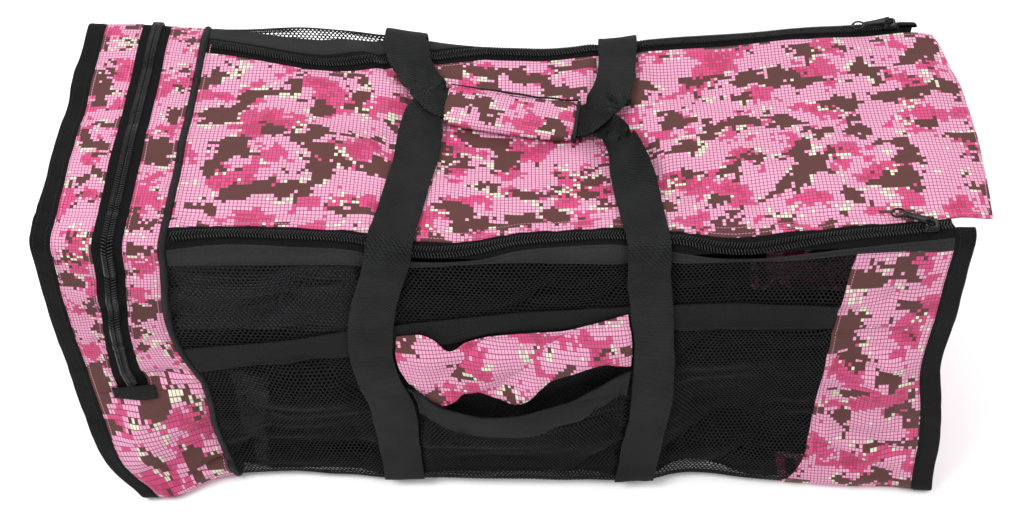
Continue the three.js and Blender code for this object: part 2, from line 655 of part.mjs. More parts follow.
// Upright cloth walls across the bag, just inside the skin.
function crossWall(middleAt, belly) {
  const reach = edgeSpread[0];
  const lower = 1 - (reach * baseEdgeRadius) / spans[0];
  const over = (reach * topEdgeRadius) / topDepth;
  const levels = placesBetween(edgeAt.frontFoot, edgeAt.frontTop);
  const crossing = placesBetween(edgeAt.frontTop + over, edgeAt.rearTop - over);
  const depth = -(wall + layerGap * 2);
  const face = (side) => {
    const at = middleAt + side * shareOf(wall / 2);
    return crossing.map((place, index) => {
      const t = index / (crossing.length - 1);
      const spots = levels.map((level) => (
        surface(at, level, depth).lerp(surface(at, mirrored(level), depth), t)
      ));
      spots.unshift(surface(at, THREE.MathUtils.lerp(lower, -lower, t), depth));
      spots.push(surface(at, place, depth));
      spots.forEach((spot) => {
        spot.x += belly * Math.sin(Math.PI * t) * Math.sin(Math.PI * Math.min(1, spot.z / height));
      });
      return spots;
    });
  };
  return solidFromGrids(face(-1), face(1), always, false);
}
add('left_end_panel', crossWall(-rootAt + shareOf(wall), -wall * 2), 'camouflage');
add('end_pocket_wall', crossWall(pipingAt, 0), 'black');
add('right_end_panel', crossWall(rootAt - shareOf(wall), wall * 2), 'camouflage');

// The base panel, flat on the floor.
add('base_panel', cloth({
  columns: stationsBetween(mainFrom, mainTo),
  rows: [trim / spans[0] - netEdge, 0, netEdge - trim / spans[0]],
  ...clothFaces,
}), 'black');

// The lid, free at its right end where it hangs past the bound flange.
const lidHem = 24;
const lidSlip = (at) => Math.max(lidHem, column(sections, 'slip', at) * topDepth);
const behindLid = (distance) => (at) => fromEdge(edgeAt.rearTop, distance - lidSlip(at));
const lidFront = fromEdge(edgeAt.frontTop, lidHem);
const lidTo = 1 + shareOf(lidOverhang);
add('lid', cloth({
  columns: stationsBetween(mainFrom, lidTo),
  rows: [...placesBetween(lidFront, 2.75).slice(0, -1), behindLid(0)],
  ...clothFaces,
}), 'camouflage');

// Zippers along the lid's two long edges, with the webbing band that each is sewn to.
const tapeFrontLow = fromEdge(edgeAt.frontTop, lidHem - tapeShown);
const chainOff = tapeShown / 2;
const longColumns = stationsBetween(mainFrom, mainTo);
const chainEnds = stationsBetween(mainFrom + shareOf(2), mainTo - shareOf(2));
const chainSides = [-1, -0.5, 0.5, 1];
const frontChainRows = chainSides.map((side) => (
  fromEdge(edgeAt.frontTop, lidHem - chainOff + side * halfChain)
));
const rearChainRows = chainSides.map((side) => behindLid(chainOff + side * halfChain));
add('front_zip_tape', cloth({
  columns: longColumns,
  rows: [tapeFrontLow + trim / height, ...frontChainRows, lidFront - (trim * 2) / topDepth],
  bottom: -tapeRise,
  top: 0,
}), 'zipper');
add('rear_zip_tape', cloth({
  columns: longColumns,
  rows: [behindLid(trim * 2), ...rearChainRows, behindLid(tapeShown - trim)],
  bottom: -tapeRise,
  top: 0,
}), 'zipper');
const chainRoof = (index) => (Math.abs(chainSides[index]) > 0.75 ? chainShoulder : chainRise);
function longChain(rows) {
  const grid = (lift) => chainEnds.map((at) => rows.map((row, index) => (
    surface(at, valueAt(row, at), layerGap + lift(index))
  )));
  return solidFromGrids(grid(chainRoof), grid(() => 0), always, false);
}
add('front_zip_coil', longChain(frontChainRows), 'zipper');
add('rear_zip_coil', longChain(rearChainRows), 'zipper');

const bandFrontLow = fromEdge(edgeAt.frontTop, lidHem - tapeShown - zipBandWidth);
add('front_zip_band', cloth({
  columns: longColumns,
  rows: placesBetween(bandFrontLow + trim / height, tapeFrontLow - trim / height),
  ...clothFaces,
}), 'black');
const rearBandLow = tapeShown + zipBandWidth;
add('rear_zip_band', cloth({
  columns: longColumns,
  rows: [behindLid(tapeShown + trim), behindLid(tapeShown + zipBandWidth / 2), behindLid(rearBandLow - trim)],
  ...clothFaces,
}), 'black');

// Side panels of camouflage cloth before the right flange; their seams wander down the bag.
const sideSeam = [
  { at: 0.95, share: 0.3 },
  { at: 1.2, share: 0.12 },
  { at: 1.45, share: 0.06 },
  { at: 1.7, share: 0.02 },
  { at: 2.0, share: -0.08 },
];
const sidePanelFrom = (place) => rootAt - shareOf(sidePanelDepth * (1 + column(sideSeam, 'share', place)));
const besideSeam = (distance, turned) => (place) => (
  sidePanelFrom(turned ? mirrored(wrapped(place)) : place) + shareOf(distance)
);
const netFront = [netEdge + trim / spans[0], bandFrontLow - trim / height];
const frontRows = placesBetween(netFront[0], netFront[1]);
const rearWallTop = edgeAt.rearTop + 0.2;
const rearShoulder = [0, 0.15, 0.5].map((t) => (at) => (
  THREE.MathUtils.lerp(behindLid(rearBandLow + seamGap * 4)(at), rearWallTop, t)
));
const rearRows = [...rearShoulder, ...placesBetween(rearWallTop, turns - netEdge - trim / spans[4]).slice(1)];
add('front_side_panel', cloth({
  columns: [besideSeam(trim, false), sideStation, mainTo],
  rows: frontRows,
  ...clothFaces,
}), 'camouflage');
add('rear_side_panel', cloth({
  columns: [besideSeam(trim, true), sideStation, mainTo],
  rows: rearRows,
  ...clothFaces,
}), 'camouflage');

// The two net walls, closed coarse cloth here, folded under to the base panel.
const netStations = stationsBetween(mainFrom, netStation);
add('front_net', cloth({
  columns: [...netStations, besideSeam(-trim, false)],
  rows: frontRows,
  ...clothFaces,
}), 'net');
add('rear_net', cloth({
  columns: [...netStations, besideSeam(-trim, true)],
  rows: rearRows,
  ...clothFaces,
}), 'net');

// The middle band of webbing, sewn over the front net and raised where the pocket's flap hangs.
const bandOffset = (middle, distance) => (at) => middle(at) + distance / height;
const bandColumns = stationsBetween(mainFrom + shareOf(1), sidePanelFrom(1.6) - shareOf(4));
add('front_mid_band', cloth({
  columns: bandColumns,
  rows: [-1, 0, 1].map((side) => bandOffset(midBandMiddle, (side * midBandWidth) / 2)),
  ...bandFaces,
}), 'black');
add('rear_mid_band', cloth({
  columns: bandColumns,
  rows: [-1, 0, 1].map((side) => rearMidPlace + (side * midBandWidth) / 2 / height),
  ...bandFaces,
}), 'black');

const degrees = THREE.MathUtils.degToRad;
const spanAt = (place) => spans[Math.floor(wrapped(place))];
// A path with a row added at each ruling that it crosses and each step of the grip.
const gripSteps = 4;
function filled(path) {
  const rows = [path[0]];
  path.slice(1).forEach((next, index) => {
    const last = path[index];
    const shares = rulings
      .map((ruling) => (ruling - last.place) / (next.place - last.place))
      .filter((share) => share > 0.06 && share < 0.94);
    const inGrip = last.at === gripEnds.leftAt;
    const gripShares = Array.from({ length: gripSteps - 1 }, (_, step) => (step + 1) / gripSteps);
    const steps = inGrip ? gripShares : shares;
    steps.sort((a, b) => a - b).forEach((share) => {
      const row = {};
      Object.keys(last).forEach((key) => {
        row[key] = THREE.MathUtils.lerp(last[key], next[key], share);
      });
      rows.push(row);
    });
    rows.push(next);
  });
  return rows;
}

// Three points across a strip of webbing at one row of its path, the middle one on the nearest
// station, their thickness added.
const middleReach = 0.6;
function acrossWeb(row, half, extra) {
  const heading = degrees(row.heading);
  const roll = degrees(row.roll);
  const reachAlong = shareOf(half * Math.cos(roll) * Math.cos(heading));
  const nearest = stations.reduce((best, at) => (
    Math.abs(at - row.at) < Math.abs(best - row.at) ? at : best
  ));
  const steep = Math.abs(Math.cos(heading)) < middleReach;
  const toNearest = (nearest - row.at) / reachAlong;
  const middle = steep ? 0 : THREE.MathUtils.clamp(toNearest, -middleReach, middleReach);
  return [-1, middle, 1].map((side) => {
    const reach = side * half * Math.cos(roll);
    const at = row.at + shareOf(reach * Math.cos(heading));
    const place = row.place - (reach * Math.sin(heading)) / spanAt(row.place);
    return surface(at, place, row.lift * webThickness + side * half * Math.sin(roll) + extra);
  });
}
function webbing(path) {
  const grid = (extra) => filled(path).map((row) => acrossWeb(row, webWidth / 2, extra));
  return solidFromGrids(grid(webThickness), grid(0), always, false);
}
add('front_handle', webbing(frontHandlePath), 'black');
add('rear_handle', webbing(rearHandlePath), 'black');

// The grip, a padded sleeve round both lengths of webbing.
const gripInner = { half: webWidth / 2 + gripSlack, low: gripFloor * webThickness - gripSlack,
  high: (gripRoof + 1) * webThickness + gripSlack };
function gripRing(t, thickness) {
  const { half, low, high } = gripInner;
  const outerHalf = half + thickness;
  const corner = (high - low) / 4;
  const profile = [
    [-outerHalf, low + corner], [-outerHalf, high - corner], [corner - outerHalf, high + thickness],
    [0, high + thickness * 1.2], [outerHalf - corner, high + thickness], [outerHalf, high - corner],
    [outerHalf, low + corner], [outerHalf - corner, low - thickness], [0, low - thickness],
    [corner - outerHalf, low - thickness],
  ];
  const heading = degrees(gripEnds.heading);
  return profile.map(([side, rise]) => {
    const at = THREE.MathUtils.lerp(gripEnds.leftAt, gripEnds.rightAt, t);
    const place = THREE.MathUtils.lerp(gripEnds.leftPlace, gripEnds.rightPlace, t);
    return surface(
      at + shareOf(side * Math.cos(heading)),
      place - (side * Math.sin(heading)) / topDepth,
      Math.max(layerGap, rise),
    );
  });
}
const gripMargin = 0.04;
const gripRun = Array.from({ length: gripSteps + 1 }, (_, index) => (
  THREE.MathUtils.lerp(gripMargin, 1 - gripMargin, index / gripSteps)
));
add('grip', solidFromGrids(
  gripRun.map((t) => gripRing(t, gripWall)),
  gripRun.map((t) => gripRing(t, 0)),
  always,
  true,
), 'camouflage');

// The centre pocket between the front straps: a slack camouflage flap under the middle band, and a
// net pocket whose bound top edge sags away from the wall.
const strapBeside = (run, inward) => (place) => (
  column(run, 'middle', place) + inward * shareOf(webWidth / 2 + layerGap * 5)
);
const leftStrap = strapBeside(strapRuns[0], 1);
const rightStrap = strapBeside(strapRuns[1], -1);
const pocketMiddle = (leftStrap(1.4) + rightStrap(1.4)) / 2;
const pocketHalf = (rightStrap(1.4) - leftStrap(1.4)) / 2;
const acrossPocket = [0, 0.2, 0.4, 0.6, 0.8, 1];
const pocketColumns = acrossPocket.map((t) => (place) => (
  THREE.MathUtils.lerp(leftStrap(place), rightStrap(place), t)
));
const bell = (at) => Math.max(0, 1 - ((at - pocketMiddle) / pocketHalf) ** 2);
const flapTop = (at) => midBandMiddle(at) - (midBandWidth / 2 + 1) / height;
const flapEdge = [
  { at: -0.3, place: 1.47 },
  { at: -0.1, place: 1.45 },
  { at: 0.05, place: 1.47 },
  { at: 0.18, place: 1.62 },
  { at: 0.3, place: 1.58 },
];
const flapShare = (t) => (at) => THREE.MathUtils.lerp(column(flapEdge, 'place', at), flapTop(at), t);
const flapLift = overBands * webThickness;
add('pocket_flap', cloth({
  columns: pocketColumns,
  rows: [0, 0.25, 0.5, 0.75, 1].map(flapShare),
  bottom: (place, at) => flapLift + 2 * bell(at) * (1 + Math.sin(place * 38 + at * 30)),
  top: (place, at) => flapLift + wall + 2 * bell(at) * (1 + Math.sin(place * 38 + at * 30)),
}), 'camouflage');
const pocketFoot = fromEdge(edgeAt.frontFoot, edgeSpread[0] * baseEdgeRadius);
const pocketMouth = (at) => pocketTop - pocketSag * bell(at);
const pocketLift = (place, at) => {
  const rise = THREE.MathUtils.smoothstep(place, pocketFoot, pocketMouth(at));
  return bandLift + (flapLift * 2 + wall + pocketBulge * bell(at)) * rise;
};
const mouthBelow = (distance) => (at) => pocketMouth(at) - distance / height;
const pocketShare = (t) => (at) => THREE.MathUtils.lerp(pocketFoot, mouthBelow(pocketBindingWidth)(at), t);
add('pocket_net', cloth({
  columns: pocketColumns,
  rows: [pocketShare(0), pocketShare(0.25), pocketShare(0.5), pocketShare(0.75), pocketShare(1)],
  bottom: pocketLift,
  top: (place, at) => pocketLift(place, at) + wall,
}), 'net');
add('pocket_binding', cloth({
  columns: pocketColumns,
  rows: [mouthBelow(pocketBindingWidth - trim * 2), mouthBelow(pocketBindingWidth / 2), mouthBelow(0)],
  bottom: pocketLift,
  top: (place, at) => pocketLift(place, at) + wall,
}), 'black');

// Sliders: a saddle over the closed chain with a crown, in which the pull's end bar is held.
const wasm = await Module();
wasm.setup();
function toSolid(geometry) {
  const bare = geometry.clone();
  bare.deleteAttribute('normal');
  bare.deleteAttribute('uv');
  const merged = mergeVertices(bare, 1e-4);
  return new wasm.Manifold(new wasm.Mesh({
    numProp: 3,
    vertProperties: new Float32Array(merged.attributes.position.array),
    triVerts: new Uint32Array(merged.index.array),
  }));
}
function fromSolid(solid) {
  const mesh = solid.getMesh();
  const geometry = new THREE.BufferGeometry();
  geometry.setAttribute('position', new THREE.BufferAttribute(new Float32Array(mesh.vertProperties), 3));
  geometry.setIndex(new THREE.BufferAttribute(new Uint32Array(mesh.triVerts), 1));
  return geometry;
}
function shapeOf(points) {
  return new THREE.Shape(points.map(([x, y]) => new THREE.Vector2(x, y)));
}
const channelPlay = 1.3;
const channelTop = layerGap + chainRise + channelPlay;
const plateTop = channelTop + sliderPlate;
const pinHeight = 3.1;
const flat = { bevelEnabled: false, curveSegments: 5 };
function saddle() {
  const outer = sliderWidth / 2;
  const inner = halfChain + channelPlay;
  const bevel = sliderPlate * 0.5;
  const profile = shapeOf([
    [-outer, layerGap], [-inner, layerGap], [-inner, channelTop], [inner, channelTop], [inner, layerGap],
    [outer, layerGap], [outer, plateTop - bevel], [outer - bevel, plateTop], [bevel - outer, plateTop],
    [-outer, plateTop - bevel],
  ]);
  const body = new THREE.ExtrudeGeometry(profile, { ...flat, depth: sliderLength });
  body.translate(0, 0, -sliderLength / 2);
  body.rotateX(Math.PI / 2);
  body.rotateZ(Math.PI / 2);
  return body;
}
const eyeHalf = pinThickness / 2 + pinPlay;
const crownWall = 1.3;
function crown() {
  const outline = new THREE.Shape();
  const top = pinHeight + eyeHalf + crownWall;
  const shoulder = crownReach * 0.5;
  outline.moveTo(-crownReach, -sliderPlate / 2);
  outline.lineTo(crownReach, -sliderPlate / 2);
  outline.lineTo(crownReach, top - shoulder);
  outline.lineTo(crownReach - shoulder, top);
  outline.lineTo(shoulder - crownReach, top);
  outline.lineTo(-crownReach, top - shoulder);
  const hole = new THREE.Path();
  const reach = crownReach - crownWall;
  hole.moveTo(-reach, pinHeight - eyeHalf);
  hole.lineTo(-reach, pinHeight + eyeHalf);
  hole.lineTo(reach, pinHeight + eyeHalf);
  hole.lineTo(reach, pinHeight - eyeHalf);
  outline.holes.push(hole);
  const plate = new THREE.ExtrudeGeometry(outline, { ...flat, depth: crownThickness });
  plate.translate(0, 0, -crownThickness / 2);
  plate.rotateX(Math.PI / 2);
  return plate;
}

// The pull lies along its own x from the end bar, which is its hinge along y.
const eyeGap = 0.5;
function pull() {
  const outline = new THREE.Shape();
  const half = pullWidth / 2;
  const barHalf = pinThickness / 2;
  const tip = pullLength - half;
  outline.moveTo(-barHalf, -half * 0.8);
  outline.lineTo(pullLength * 0.35, -half * 0.8);
  outline.lineTo(tip, -half);
  outline.absarc(tip, 0, half, -Math.PI / 2, Math.PI / 2, false);
  outline.lineTo(pullLength * 0.35, half * 0.8);
  outline.lineTo(-barHalf, half * 0.8);
  const eye = new THREE.Path();
  const eyeSide = crownThickness / 2 + eyeGap;
  const eyeEnd = crownReach + eyeGap * 2;
  eye.moveTo(barHalf, -eyeSide);
  eye.lineTo(barHalf, eyeSide);
  eye.lineTo(eyeEnd, eyeSide);
  eye.lineTo(eyeEnd, -eyeSide);
  const grip = new THREE.Path();
  const slotHalf = half * 0.42;
  const slotFrom = pullLength - half * 2.6;
  grip.absarc(slotFrom, 0, slotHalf, Math.PI / 2, -Math.PI / 2, true);
  grip.absarc(tip, 0, slotHalf, -Math.PI / 2, Math.PI / 2, false);
  outline.holes.push(eye, grip);
  const plate = new THREE.ExtrudeGeometry(outline, { ...flat, depth: pullThickness });
  plate.translate(0, 0, -pullThickness / 2);
  return plate;
}

// Where each slider stands on its chain and where the end of its pull comes to rest on the cloth.
const overCloth = pullThickness / 2 + layerGap * 2;
const overCoil = overCloth + chainRise + layerGap;
const sliders = [
  { name: 'front', at: 0.905, side: edgeAt.frontTop, off: lidHem - chainOff, restAlong: -37, restOff: 24,
    restOver: overCloth },
  { name: 'rear', at: 0.93, side: edgeAt.rearTop, off: chainOff - lidHem, restAlong: -40, restOff: -2,
    restOver: overCoil },
];
const upShare = 0.5;
sliders.forEach(({ name, at, side, off, restAlong, restOff, restOver }) => {
  const place = fromEdge(side, off);
  const foot = surface(at, place, 0);
  const reach = shareOf(sliderLength / 2);
  const chain = surface(at + reach, place, 0).sub(surface(at - reach, place, 0)).normalize();
  const up = surface(at, place, 1).sub(foot).normalize().add(new THREE.Vector3(0, 0, upShare));
  up.addScaledVector(chain, -up.dot(chain)).normalize();
  const bodyFrame = new THREE.Matrix4().makeBasis(chain, new THREE.Vector3().crossVectors(up, chain), up);
  bodyFrame.setPosition(foot);
  const pin = foot.clone().addScaledVector(up, plateTop + pinHeight);
  const rest = surface(at + shareOf(restAlong), fromEdge(side, off + restOff), restOver);
  const lie = rest.sub(pin).normalize();
  const hinge = new THREE.Vector3().crossVectors(up, lie).normalize();
  const turned = new THREE.Vector3().crossVectors(hinge, up);
  const crownFrame = new THREE.Matrix4().makeBasis(turned, hinge, up);
  crownFrame.setPosition(foot.clone().addScaledVector(up, plateTop));
  const body = toSolid(saddle().applyMatrix4(bodyFrame)).add(toSolid(crown().applyMatrix4(crownFrame)));
  add(`${name}_slider`, fromSolid(body), 'metal');
  const tab = add(`${name}_pull`, pull(), 'metal');
  tab.applyMatrix4(new THREE.Matrix4().makeBasis(lie, hinge, new THREE.Vector3().crossVectors(lie, hinge)));
  tab.position.copy(pin);
});

// The end pocket's slider stands out of sight at the rear end of its chain, its pull held down.
const endSliderPlace = endZipRearLow - tabReach * 2 - sliderLength / height;
const endFoot = surface(endZipMiddle(endSliderPlace), endSliderPlace, 0);
const endUp = surface(endZipMiddle(endSliderPlace), endSliderPlace, 1).sub(endFoot).normalize();
const endBelow = endSliderPlace + sliderLength / 2 / height;
const endChain = surface(endZipMiddle(endBelow), endBelow, 0).sub(endFoot);
endChain.addScaledVector(endUp, -endChain.dot(endUp)).normalize();
const endAcross = new THREE.Vector3().crossVectors(endUp, endChain);
const endFrame = new THREE.Matrix4().makeBasis(endChain, endAcross, endUp);
endFrame.setPosition(endFoot);
const endPull = new THREE.BoxGeometry(pullLength, pullWidth, pullThickness);
endPull.translate(pullLength / 2 - sliderLength / 4, 0, plateTop + pullThickness / 4);
add('end_zip_slider', fromSolid(
  toSolid(saddle().applyMatrix4(endFrame)).add(toSolid(endPull.applyMatrix4(endFrame))),
), 'metal');

// The origin is under the middle of the whole bag.
const box = new THREE.Box3().setFromObject(bag);
bag.position.x = -(box.min.x + box.max.x) / 2;
bag.position.y = -(box.min.y + box.max.y) / 2;

export default bag;
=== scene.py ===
import math

import bpy
import numpy as np
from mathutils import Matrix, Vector


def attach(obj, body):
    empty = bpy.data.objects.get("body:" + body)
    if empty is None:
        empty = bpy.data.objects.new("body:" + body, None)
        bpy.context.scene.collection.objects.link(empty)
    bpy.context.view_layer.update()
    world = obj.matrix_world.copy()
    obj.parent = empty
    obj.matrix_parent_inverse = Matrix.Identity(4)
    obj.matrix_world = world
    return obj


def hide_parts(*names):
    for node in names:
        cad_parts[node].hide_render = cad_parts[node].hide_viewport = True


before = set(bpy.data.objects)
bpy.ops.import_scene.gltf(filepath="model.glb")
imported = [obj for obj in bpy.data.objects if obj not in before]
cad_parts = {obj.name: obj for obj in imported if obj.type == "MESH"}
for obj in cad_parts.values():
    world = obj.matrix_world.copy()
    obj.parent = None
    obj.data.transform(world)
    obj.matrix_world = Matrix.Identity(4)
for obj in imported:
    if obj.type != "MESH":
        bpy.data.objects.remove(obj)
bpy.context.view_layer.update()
scene = bpy.context.scene

# The view: the bag from the front and well above it, as it is laid out for a catalogue,
# through a normal lens.
lens = bpy.data.cameras.new("view_lens")
lens.lens, lens.sensor_width = 53.6, 36
lens.clip_end = 50
camera = bpy.data.objects.new("view", lens)
camera.location = (-0.005, -1.156, 1.496)
camera.rotation_euler = (math.radians(41.8), 0, 0)
scene.collection.objects.link(camera)
scene.camera = camera

# The base: one black coated panel, flat on the floor. The whole shell is cut and sewn to one soft box,
# whose cross-sections stand in this table: shares of the half length, half depths and height.
half_length, height, top_depth, base_depth = 0.4585, 0.400, 0.318, 0.344
top_edge_radius, base_edge_radius = 0.015, 0.022
box_shift = np.array([-0.01063, -0.00285, 0.0])
section_names = ("at", "front_top", "front_rise", "rear_top", "rear_rise", "sag", "front_foot",
                 "rear_foot", "front_belly", "rear_belly", "middle_shift", "foot_shift", "slip")
section_rows = (
    (-1.02, 0.99, 1.010, 1.15, 1.000, 0.01, 1.15, 1.06, -0.02, 0.02, 0.000, 0.020, 0.14),
    (-0.86, 1.00, 1.000, 1.17, 0.990, 0.00, 1.11, 1.06, 0.01, 0.06, -0.006, 0.035, 0.14),
    (-0.74, 0.99, 0.990, 1.18, 0.980, 0.01, 1.00, 1.05, 0.05, 0.08, 0.000, 0.048, 0.14),
    (-0.42, 0.98, 0.980, 1.25, 0.955, 0.04, 0.97, 1.04, 0.07, 0.06, 0.000, 0.030, 0.22),
    (0.00, 0.98, 0.955, 1.06, 0.945, 0.07, 1.00, 1.04, 0.05, 0.09, 0.020, 0.030, 0.06),
    (0.45, 0.96, 0.970, 1.13, 0.965, 0.06, 0.98, 1.04, 0.04, 0.08, 0.010, 0.020, 0.05),
    (0.82, 0.96, 1.000, 1.20, 0.985, 0.03, 1.08, 1.05, 0.00, 0.05, -0.005, 0.045, 0.05),
    (1.06, 0.96, 1.025, 1.20, 1.000, 0.01, 1.09, 1.05, -0.03, 0.02, 0.000, 0.075, 0.05),
)
# How far the cloth has slid along the bag: share along, place around, spread along, run around, slide.
slide_rows = (
    (-1.0, 1.9, 0.3, 0.5, -0.012), (-1.0, 3.0, 0.25, 0.6, -0.02), (-0.745, 1.72, 0.14, 0.16, -0.026),
    (-0.73, 1.46, 0.12, 0.14, 0.018), (-1.0, 1.0, 0.12, 0.13, 0.07), (1.0, 1.54, 0.1, 0.1, -0.012),
    (1.0, 1.25, 0.1, 0.14, 0.014),
)
# The large folds: share along, place around, turn in degrees, run, width and rise in bag heights.
fold_rows = (
    (-0.5, 1.84, 1, 0.55, 0.04, 0.012), (-0.45, 1.74, -2, 0.6, 0.05, -0.012),
    (0.4, 1.82, -1, 0.6, 0.05, 0.01), (-0.47, 1.5, 4, 0.3, 0.11, 0.035),
    (-0.5, 1.22, 10, 0.3, 0.12, -0.02), (0.52, 1.35, -6, 0.28, 0.14, -0.035),
    (0.5, 1.62, 3, 0.35, 0.08, 0.018), (0.88, 1.55, 84, 0.4, 0.05, 0.018),
    (0.79, 1.35, 96, 0.4, 0.05, -0.012), (-0.87, 1.35, 60, 0.28, 0.05, 0.015),
    (-0.83, 1.15, 45, 0.24, 0.05, -0.012), (-0.34, 2.86, -24, 0.22, 0.045, 0.02),
    (-0.5, 2.45, 8, 0.5, 0.12, 0.02), (0.55, 2.4, -8, 0.55, 0.12, 0.018),
    (0.3, 2.72, 14, 0.35, 0.08, -0.015), (0.1, 3.5, 4, 0.7, 0.14, 0.03),
    (-0.5, 3.4, -8, 0.4, 0.12, -0.02),
)


def table(names, rows):
    """Rows of numbers as named columns."""
    return {name: np.array(column, float) for name, column in zip(names, zip(*rows))}


def smooth(columns, name, at, along="at"):
    """The named column's value between the table's rows, on a smooth curve through them."""
    spots, values = columns[along], columns[name]
    last = len(spots) - 1
    row = np.clip(np.searchsorted(spots, at) - 1, 0, last - 1)
    before, after = np.maximum(row - 1, 0), np.minimum(row + 2, last)
    span = spots[row + 1] - spots[row]
    t = np.clip((at - spots[row]) / span, 0, 1)
    here = (values[row + 1] - values[before]) / (spots[row + 1] - spots[before]) * span
    there = (values[after] - values[row]) / (spots[after] - spots[row]) * span
    return ((2 * t ** 3 - 3 * t ** 2 + 1) * values[row] + (t ** 3 - 2 * t ** 2 + t) * here
            + (3 * t ** 2 - 2 * t ** 3) * values[row + 1] + (t ** 3 - t ** 2) * there)


def ease(value, low, high):
    """From 0 at low to 1 at high, without corners."""
    t = np.clip((value - low) / (high - low), 0, 1)
    return t * t * (3 - 2 * t)


sections = table(section_names, section_rows)
spans = np.array([base_depth / 2, height, top_depth, height, base_depth / 2])
edges = np.concatenate([[0], np.cumsum(spans)])
front_foot, front_edge, rear_edge, rear_foot, girth = edges[1:]


def run_of(place):
    """Metres around the shell: 1 is the front foot, 2 the front edge, 3 the rear edge, 4 the rear foot."""
    return np.interp(place, range(len(edges)), edges)


def outline(at, around):
    """The shell's cross-section at a share along, as points across and up for metres around."""
    value = {name: float(smooth(sections, name, np.array(at))) for name in section_names[1:]}
    corners = [np.array(corner) for corner in (
        (-value["front_foot"] * base_depth / 2, 0.0),
        (-value["front_top"] * top_depth / 2, value["front_rise"] * height),
        (value["rear_top"] * top_depth / 2, value["rear_rise"] * height),
        (value["rear_foot"] * base_depth / 2, 0.0))]
    radii = [base_edge_radius, top_edge_radius, top_edge_radius, base_edge_radius]
    bulges = [value["front_belly"] * top_depth / 2, -value["sag"] * top_depth / 2,
              value["rear_belly"] * top_depth / 2]
    points, marks, count = [np.zeros((1, 2))], [0], 1
    bend = np.linspace(0, 1, 13)[:, None]
    t = np.linspace(0, 1, 48)[1:-1, None]
    for k, corner in enumerate(corners):
        towards = [corners[(k + turn) % 4] - corner for turn in (3, 1)]
        enter, leave = (corner + way / np.linalg.norm(way) * radii[k] for way in towards)
        points.append((1 - bend) ** 2 * enter + 2 * bend * (1 - bend) * corner + bend ** 2 * leave)
        marks.append(count + len(bend) // 2)
        count += len(bend)
        if k < 3:
            after = corners[k + 1]
            back = corner - after
            run = after + back / np.linalg.norm(back) * radii[k + 1] - leave
            outward = np.array([-run[1], run[0]]) / np.linalg.norm(run)
            points.append(leave + run * t + outward * bulges[k] * np.sin(np.pi * t) ** 2)
            count += len(t)
    points.append(np.zeros((1, 2)))
    marks.append(count)
    points = np.vstack(points)
    lengths = np.concatenate([[0], np.cumsum(np.linalg.norm(np.diff(points, axis=0), axis=1))])
    target = np.interp(around, edges, lengths[marks])
    return np.stack([np.interp(target, lengths, points[:, k]) for k in (0, 1)], -1)


# The webbing holds the cloth flat, so its paths come before the folds. Each row: share along, place
# around, lift in webbing thicknesses, heading (0 up the front wall, 90 along the bag) and roll.
web_width, web_thickness, layer = 0.045, 0.0016, 0.0005
band_lift, band_thickness, band_width = 0.0007, 0.0014, 0.026
over_bands = (band_lift + band_thickness + layer) / web_thickness
over_chain = (layer * 4 + 0.0026) / web_thickness
grip_wall, grip_slack = 0.0026, 0.0012
grip_floor = (layer * 2 + grip_wall + grip_slack) / web_thickness
grip_roof = grip_floor + 1 + layer / web_thickness
web_names = ("at", "place", "lift", "heading", "roll")
front_web_rows = (
    (-0.284, 1.03, over_bands, 0, 0), (-0.286, 1.4, over_bands, 0, 0), (-0.305, 1.53, over_bands, 0, 0),
    (-0.315, 1.64, over_bands, 0, 0), (-0.302, 1.79, over_bands, 0, 0), (-0.272, 1.92, over_bands, 0, 0),
    (-0.262, 1.965, over_chain, 0, 0), (-0.254, 2.0, over_chain, 4, 0), (-0.248, 2.05, over_chain, 6, 0),
    (-0.242, 2.11, 1.5, 8, 0), (-0.228, 2.24, 1.2, 10, 0), (-0.21, 2.42, 1.4, 12, 0),
    (-0.2, 2.55, 3.0, 22, 0), (-0.182, 2.645, grip_floor, 58, 0), (-0.152, 2.675, grip_floor, 98, 0),
    (0.167, 2.605, grip_floor, 98, 0), (0.202, 2.582, grip_floor, 114, 0), (0.242, 2.515, grip_floor, 146, 0),
    (0.264, 2.42, 6.6, 166, -22), (0.278, 2.31, 3.4, 172, -9), (0.291, 2.19, 1.4, 174, 0),
    (0.3, 2.09, 1.6, 176, 0), (0.304, 2.05, over_chain, 178, 0), (0.304, 2.0, over_chain, 180, 0),
    (0.303, 1.965, over_chain, 180, 0), (0.303, 1.92, over_bands, 180, 0), (0.318, 1.65, over_bands, 180, 0),
    (0.318, 1.36, over_bands, 180, 0), (0.306, 1.2, over_bands, 180, 0), (0.295, 1.03, over_bands, 180, 0),
)
rear_web_rows = (
    (-0.25, 3.97, over_bands, 180, 0), (-0.25, 3.5, over_bands, 180, 0), (-0.25, 3.12, over_chain, 180, 0),
    (-0.25, 3.035, over_chain, 180, 0), (-0.25, 3.0, over_chain, 180, 0), (-0.248, 2.93, 3.8, 176, 0),
    (-0.232, 2.83, 4.2, 164, 0), (-0.205, 2.745, grip_roof, 142, 0), (-0.176, 2.692, grip_roof, 116, 0),
    (-0.152, 2.675, grip_roof, 98, 0), (0.167, 2.605, grip_roof, 98, 0), (0.204, 2.635, 5.2, 66, 0),
    (0.236, 2.695, 6.6, 30, 0), (0.254, 2.79, 5.6, 8, 0), (0.264, 2.9, 4.0, 3, 0),
    (0.268, 3.0, over_chain, 0, 0), (0.268, 3.035, over_chain, 0, 0), (0.268, 3.12, over_chain, 0, 0),
    (0.268, 3.5, over_bands, 0, 0), (0.268, 3.97, over_bands, 0, 0),
)
web_runs = []
